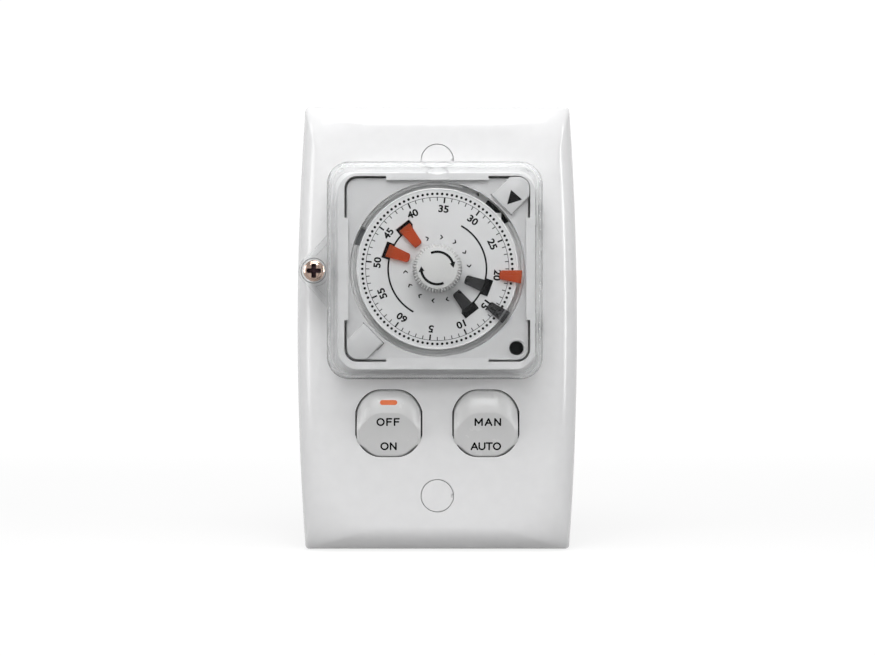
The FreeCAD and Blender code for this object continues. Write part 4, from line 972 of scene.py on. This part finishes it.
RIM_PROFILE = [(19.45, 14.6), (19.5, 14.68), (19.65, 14.74), (19.82, 14.74), (19.95, 14.66),
               (20.0, 14.5), (20.0, 13.2), (19.9, 13.1), (19.9, 14.55)]
lighter_white = finish("polished_rim", (0.64, 0.64, 0.645), 0.22, mottle=0.01)
rim = lathe("dial_rim", RIM_PROFILE, (0, TIMER_Z), 192)
rim.data.materials.append(lighter_white)
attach(rim, "dial")


# The setting knob: a white knob pressed on the dial's spindle, with fine soft teeth to grip and
# a flat face on which two arrows show its way.
KNOB_TEETH = 48
KNOB_TOOTH = 0.6
KNOB_LOW, KNOB_TOP = 14.6, 20.6
KNOB_PROFILE = [(0, KNOB_LOW), (5.95, KNOB_LOW), (6.1, KNOB_LOW + 0.15), (6.12, KNOB_LOW + 2.5),
                (6.12, KNOB_TOP - 1.1), (6.02, KNOB_TOP - 0.8), (5.7, KNOB_TOP - 0.45),
                (5.3, KNOB_TOP - 0.22), (5.12, KNOB_TOP - 0.14), (5.03, KNOB_TOP - 0.04),
                (4.95, KNOB_TOP), (0, KNOB_TOP)]
FACE_RADIUS = 5.0
TOOTH_FADE = 0.5
TOOTH_POINT = 0.8
ARROW_RING, ARROW_HALF, ARROW_HEAD = 3.95, 0.31, 1.35


def knob_ripple(radius, angle):
    """Pointed ridges along the knob's side, fading out at its face."""
    fade = min(1.0, max(0.0, (radius - FACE_RADIUS) / TOOTH_FADE))
    along = KNOB_TEETH * angle / math.tau % 1
    return radius - KNOB_TOOTH * fade * abs(2 * along - 1) ** TOOTH_POINT


# Greyer than the plate's white: painted shade under the cover, on top of the shadow it casts.
knob_white = finish("knob_white", (0.56, 0.56, 0.555), 0.35, mottle=0.02)
knob = lathe("knob_moulding", KNOB_PROFILE, (0, TIMER_Z), KNOB_TEETH * 10, knob_ripple)
knob.data.materials.append(knob_white)
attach(knob, "dial")
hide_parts("setting_knob")
arcs("knob_arrows", "dial", ARROW_RING, ARROW_HALF, ((113, 20), (-67, -167)),
     lambda x, z, height: on_timer(x, z, KNOB_TOP + height), heads=ARROW_HEAD)


# The tappets: flat tapered blades moulded in clear orange and smoky grey plastic. Four are stored
# flat on the dial with their feet in its slots, and two are set at its rim, where they trip the
# switch. The dark outline of the slot round each foot of the stored grey ones is painted shade,
# drawn in black on the top of their clear feet.
BLADE = 1.0
FOOT = 0.8
TIP_HALF, ROOT_HALF = 1.2, 1.65
TIP_SQUARE = 0.6
CLEAR_SHEEN = (0.12, 0.12, 0.12, 1)
EDGE_GLOW_ENDS = (0.6, 0.95)


def clear_plastic(name, colour, rough, shade, clearness=1.0, ripple=0.0, edge_glow=0.0):
    """Clear plastic that lets the lamps through to what lies under it, in a colour of its own. With
    edge_glow, its walls turn a matt white where they are seen edge on: a painted glow for the
    light that thick clear plastic gathers at its edges."""
    material = finish(name, colour, rough, mottle=0.01, relief=ripple, relief_patch=55.0,
                      Transmission_Weight=clearness, IOR=1.49)
    tree = material.node_tree
    shader = tree.nodes["Principled BSDF"]
    shader.inputs["Specular Tint"].default_value = CLEAR_SHEEN
    if edge_glow:
        edge = tree.nodes.new("ShaderNodeLayerWeight")
        edge.inputs["Blend"].default_value = 0.5
        clear = graded(tree, edge.outputs["Facing"], EDGE_GLOW_ENDS, (clearness, 1 - edge_glow))
        tree.links.new(clear, shader.inputs["Transmission Weight"])
    through = tree.nodes.new("ShaderNodeBsdfTransparent")
    through.inputs["Color"].default_value = (*shade, 1)
    path = tree.nodes.new("ShaderNodeLightPath")
    surface = mixed(tree, path.outputs["Is Shadow Ray"], shader.outputs[0], through.outputs[0])
    tree.links.new(surface, tree.nodes["Material Output"].inputs["Surface"])
    return material


orange_clear = clear_plastic("orange_clear", (0.68, 0.13, 0.05), 0.15, (0.50, 0.36, 0.32), 0.6)
grey_clear = clear_plastic("smoky_grey", (0.20, 0.20, 0.205), 0.12, (0.50, 0.50, 0.50), 0.9)


def tappet_mesh(name, angle, tip, end, leg):
    """A blade with a blunt round tip and a leg down from its outer end, its edges rounded over."""
    turn = math.radians(angle)

    def place(x, z, level):
        return on_timer(*turned(x, z, turn), level)

    top, low, foot = DIAL_LEVEL + BLADE, DIAL_LEVEL + 0.02, end - FOOT
    share = (foot - tip - TIP_HALF) / (end - tip - TIP_HALF)
    foot_half = TIP_HALF + (ROOT_HALF - TIP_HALF) * share
    tip_points = []
    for step in range(15):
        across, ahead = math.cos(math.pi * step / 14), math.sin(math.pi * step / 14)
        tip_points.append((tip + TIP_HALF * (1 - ahead ** TIP_SQUARE),
                           -TIP_HALF * math.copysign(abs(across) ** TIP_SQUARE, across)))
    blade = [(foot, -foot_half)] + tip_points + [(foot, foot_half)]
    count = len(blade)
    points = [place(x, z, low) for x, z in blade] + [place(x, z, top) for x, z in blade]
    outer = [(end, -ROOT_HALF), (end, ROOT_HALF)]
    down = DIAL_LEVEL - leg
    points += [place(x, z, low) for x, z in outer] + [place(x, z, top) for x, z in outer]
    points += [place(x, z, down) for x, z in ((foot, -foot_half), (foot, foot_half), *outer)]
    low_0, low_1 = 0, count - 1
    top_0, top_1 = count, 2 * count - 1
    out_low_0, out_low_1, out_top_0, out_top_1, d0, d1, d2, d3 = range(2 * count, 2 * count + 8)
    faces = [tuple(range(count)), tuple(range(count, 2 * count))]
    faces += [(i, i + 1, count + i + 1, count + i) for i in range(count - 1)]
    faces += [(top_0, top_1, out_top_1, out_top_0), (out_low_0, out_low_1, out_top_1, out_top_0),
              (low_0, out_low_0, out_top_0, top_0), (low_1, out_low_1, out_top_1, top_1),
              (low_0, low_1, d1, d0), (low_0, out_low_0, d2, d0), (low_1, out_low_1, d3, d1),
              (out_low_0, out_low_1, d3, d2), (d0, d1, d3, d2)]
    thing = mesh_object(name, points, faces)
    soften(thing, 0.16, 3, 50.0)
    return thing


TAPPETS = (
    # name, angle, tip radius, end radius, leg, finish
    ("spare_on_1", 159.7, 7.3, 13.1, 2.6, orange_clear),
    ("spare_on_2", 128.3, 7.3, 13.1, 2.6, orange_clear),
    ("spare_off_1", 339.7, 7.3, 13.1, 2.6, grey_clear),
    ("spare_off_2", 308.3, 7.3, 13.1, 2.6, grey_clear),
    ("set_on", -5.5, 15.4, 20.9, 2.7, orange_clear),
    ("set_off", -35.3, 15.4, 20.9, 2.7, grey_clear),
)
for name, angle, tip, end, leg, material in TAPPETS:
    blade = tappet_mesh(f"blade_{name}", angle, tip, end, leg)
    blade.data.materials.append(material)
    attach(blade, f"tappet_{name}_body")
    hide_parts(f"tappet_{name}")

# Painted shade: black frames on the stored grey feet, for the dark slot round each foot.
EDGE_WIDTH = 0.34
EDGE_INSET, EDGE_NEAR = 0.12, 0.25
STORED_GREY = TAPPETS[2:4]
for name, angle, tip, end, leg, material in STORED_GREY:
    turn = math.radians(angle)
    near, far, half = end - FOOT - EDGE_NEAR, end - EDGE_INSET, ROOT_HALF - EDGE_INSET
    within = half - EDGE_WIDTH
    sides = ((near, far, -half, -within), (near, far, within, half),
             (near, near + EDGE_WIDTH, -within, within), (far - EDGE_WIDTH, far, -within, within))
    bars = [[(x0, z0), (x1, z0), (x1, z1), (x0, z1)] for x0, x1, z0, z1 in sides]
    foot_shade_lines = print_mesh(f"foot_edge_{name}", bars, lambda x, z, height: on_timer(
        *turned(x, z, turn), DIAL_LEVEL + BLADE + height))
    foot_shade_lines.data.materials.append(black_ink_and_shade)
    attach(foot_shade_lines, f"tappet_{name}_body")


# The cover: a box moulded in clear polycarbonate over the whole timer. It swings on two pins at
# its right, and a lug at its left takes the screw.
# The cover's walls carry a painted glow: a matt white where they are seen edge on.
cover_clear = clear_plastic("clear_cover", (0.98, 0.985, 0.985), 0.02, (0.73, 0.73, 0.73),
                            ripple=0.000003, edge_glow=0.65)
dress(cover_clear, "clear_cover")


# The cover's screw: a copper coloured pan head with a cross recess, over a plain washer. Its
# recess is painted near black, as painted shade. It sits in the lug's round boss, whose edge is
# drawn as a dark line of painted shade.
SCREW = (-30.4, 14.1)
HEAD_LOW, HEAD_TOP = 15.12, 16.9
HEAD_RADIUS = 2.6
HEAD_DOME, DOME_POWER = 0.75, 2.6
RECESS_DEPTH = 1.05
RECESS_REACH, RECESS_END = 1.75, 0.35
RECESS_HALF, RECESS_WALL = 0.56, 0.16
copper = finish("copper_screw", (0.42, 0.31, 0.26), 0.14, mottle=0.3,
                relief=0.00001, relief_patch=2500.0, Metallic=1.0)
# Near black in the cross recess: painted shade.
copper_recess_shade = finish("copper_recess_shade", (0.035, 0.02, 0.024), 0.4, mottle=0.3, patch=1500.0,
                       Metallic=1.0)
dress(zinc, "screw_washer")


def recess_share(x, z):
    """How deep a place of the screw's head lies in the cross recess, from 0 to 1."""
    along, across = max(abs(x), abs(z)), min(abs(x), abs(z))
    arm = min(max((RECESS_REACH - along) / RECESS_END, 0.0), 1.0)
    wall = min(max((RECESS_HALF - across) / RECESS_WALL, 0.0), 1.0)
    return arm * wall


def head_level(x, z):
    """The screw head's surface: a low dome with a cross recess that narrows as it goes down."""
    dome = HEAD_TOP - HEAD_DOME * (math.hypot(x, z) / HEAD_RADIUS) ** DOME_POWER
    return dome - RECESS_DEPTH * recess_share(x, z)


HEAD_RINGS, SPOKES = 44, 192
SHANK = [(HEAD_RADIUS, HEAD_LOW), (1.25, HEAD_LOW), (1.25, 5.4), (1.0, 5.0)]
profile = [(HEAD_RADIUS * ring / HEAD_RINGS, None) for ring in range(1, HEAD_RINGS + 1)] + SHANK
points = [Vector((SCREW[0], -head_level(0, 0), SCREW[1])) * MM]
for radius, level in profile:
    for spoke in range(SPOKES):
        angle = math.tau * spoke / SPOKES
        x, z = radius * math.cos(angle), radius * math.sin(angle)
        front = head_level(x, z) if level is None else level
        points.append(Vector((SCREW[0] + x, -front, SCREW[1] + z)) * MM)
faces = [(0, 1 + spoke, 1 + (spoke + 1) % SPOKES) for spoke in range(SPOKES)]
faces += skin(SPOKES, len(profile), 1)
faces.append(tuple(range(len(points) - SPOKES, len(points))))
screw = mesh_object("pan_head_screw", points, faces, 30.0)
screw.data.materials.append(copper)
screw.data.materials.append(copper_recess_shade)
# The faces deep in the recess take the near black: painted shade.
for polygon in screw.data.polygons:
    middle = polygon.center / MM
    if -middle.y > HEAD_LOW and recess_share(middle.x - SCREW[0], middle.z - SCREW[1]) > 0.1:
        polygon.material_index = 1
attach(screw, "screw")
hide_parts("cover_screw")

# A dark grey ring on the boss's rounded edge: a painted line of shade.
BOSS_PROFILE = [(2.98, 17.21), (3.16, 17.21), (3.16, 17.25), (2.98, 17.25)]
boss_shade_grey = finish("boss_painted_shade", (0.12, 0.12, 0.12), 0.4, mottle=0.1)
boss_edge = lathe("boss_edge", BOSS_PROFILE, SCREW)
boss_edge.data.materials.append(boss_shade_grey)
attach(boss_edge, "cover")


bpy.context.view_layer.update()
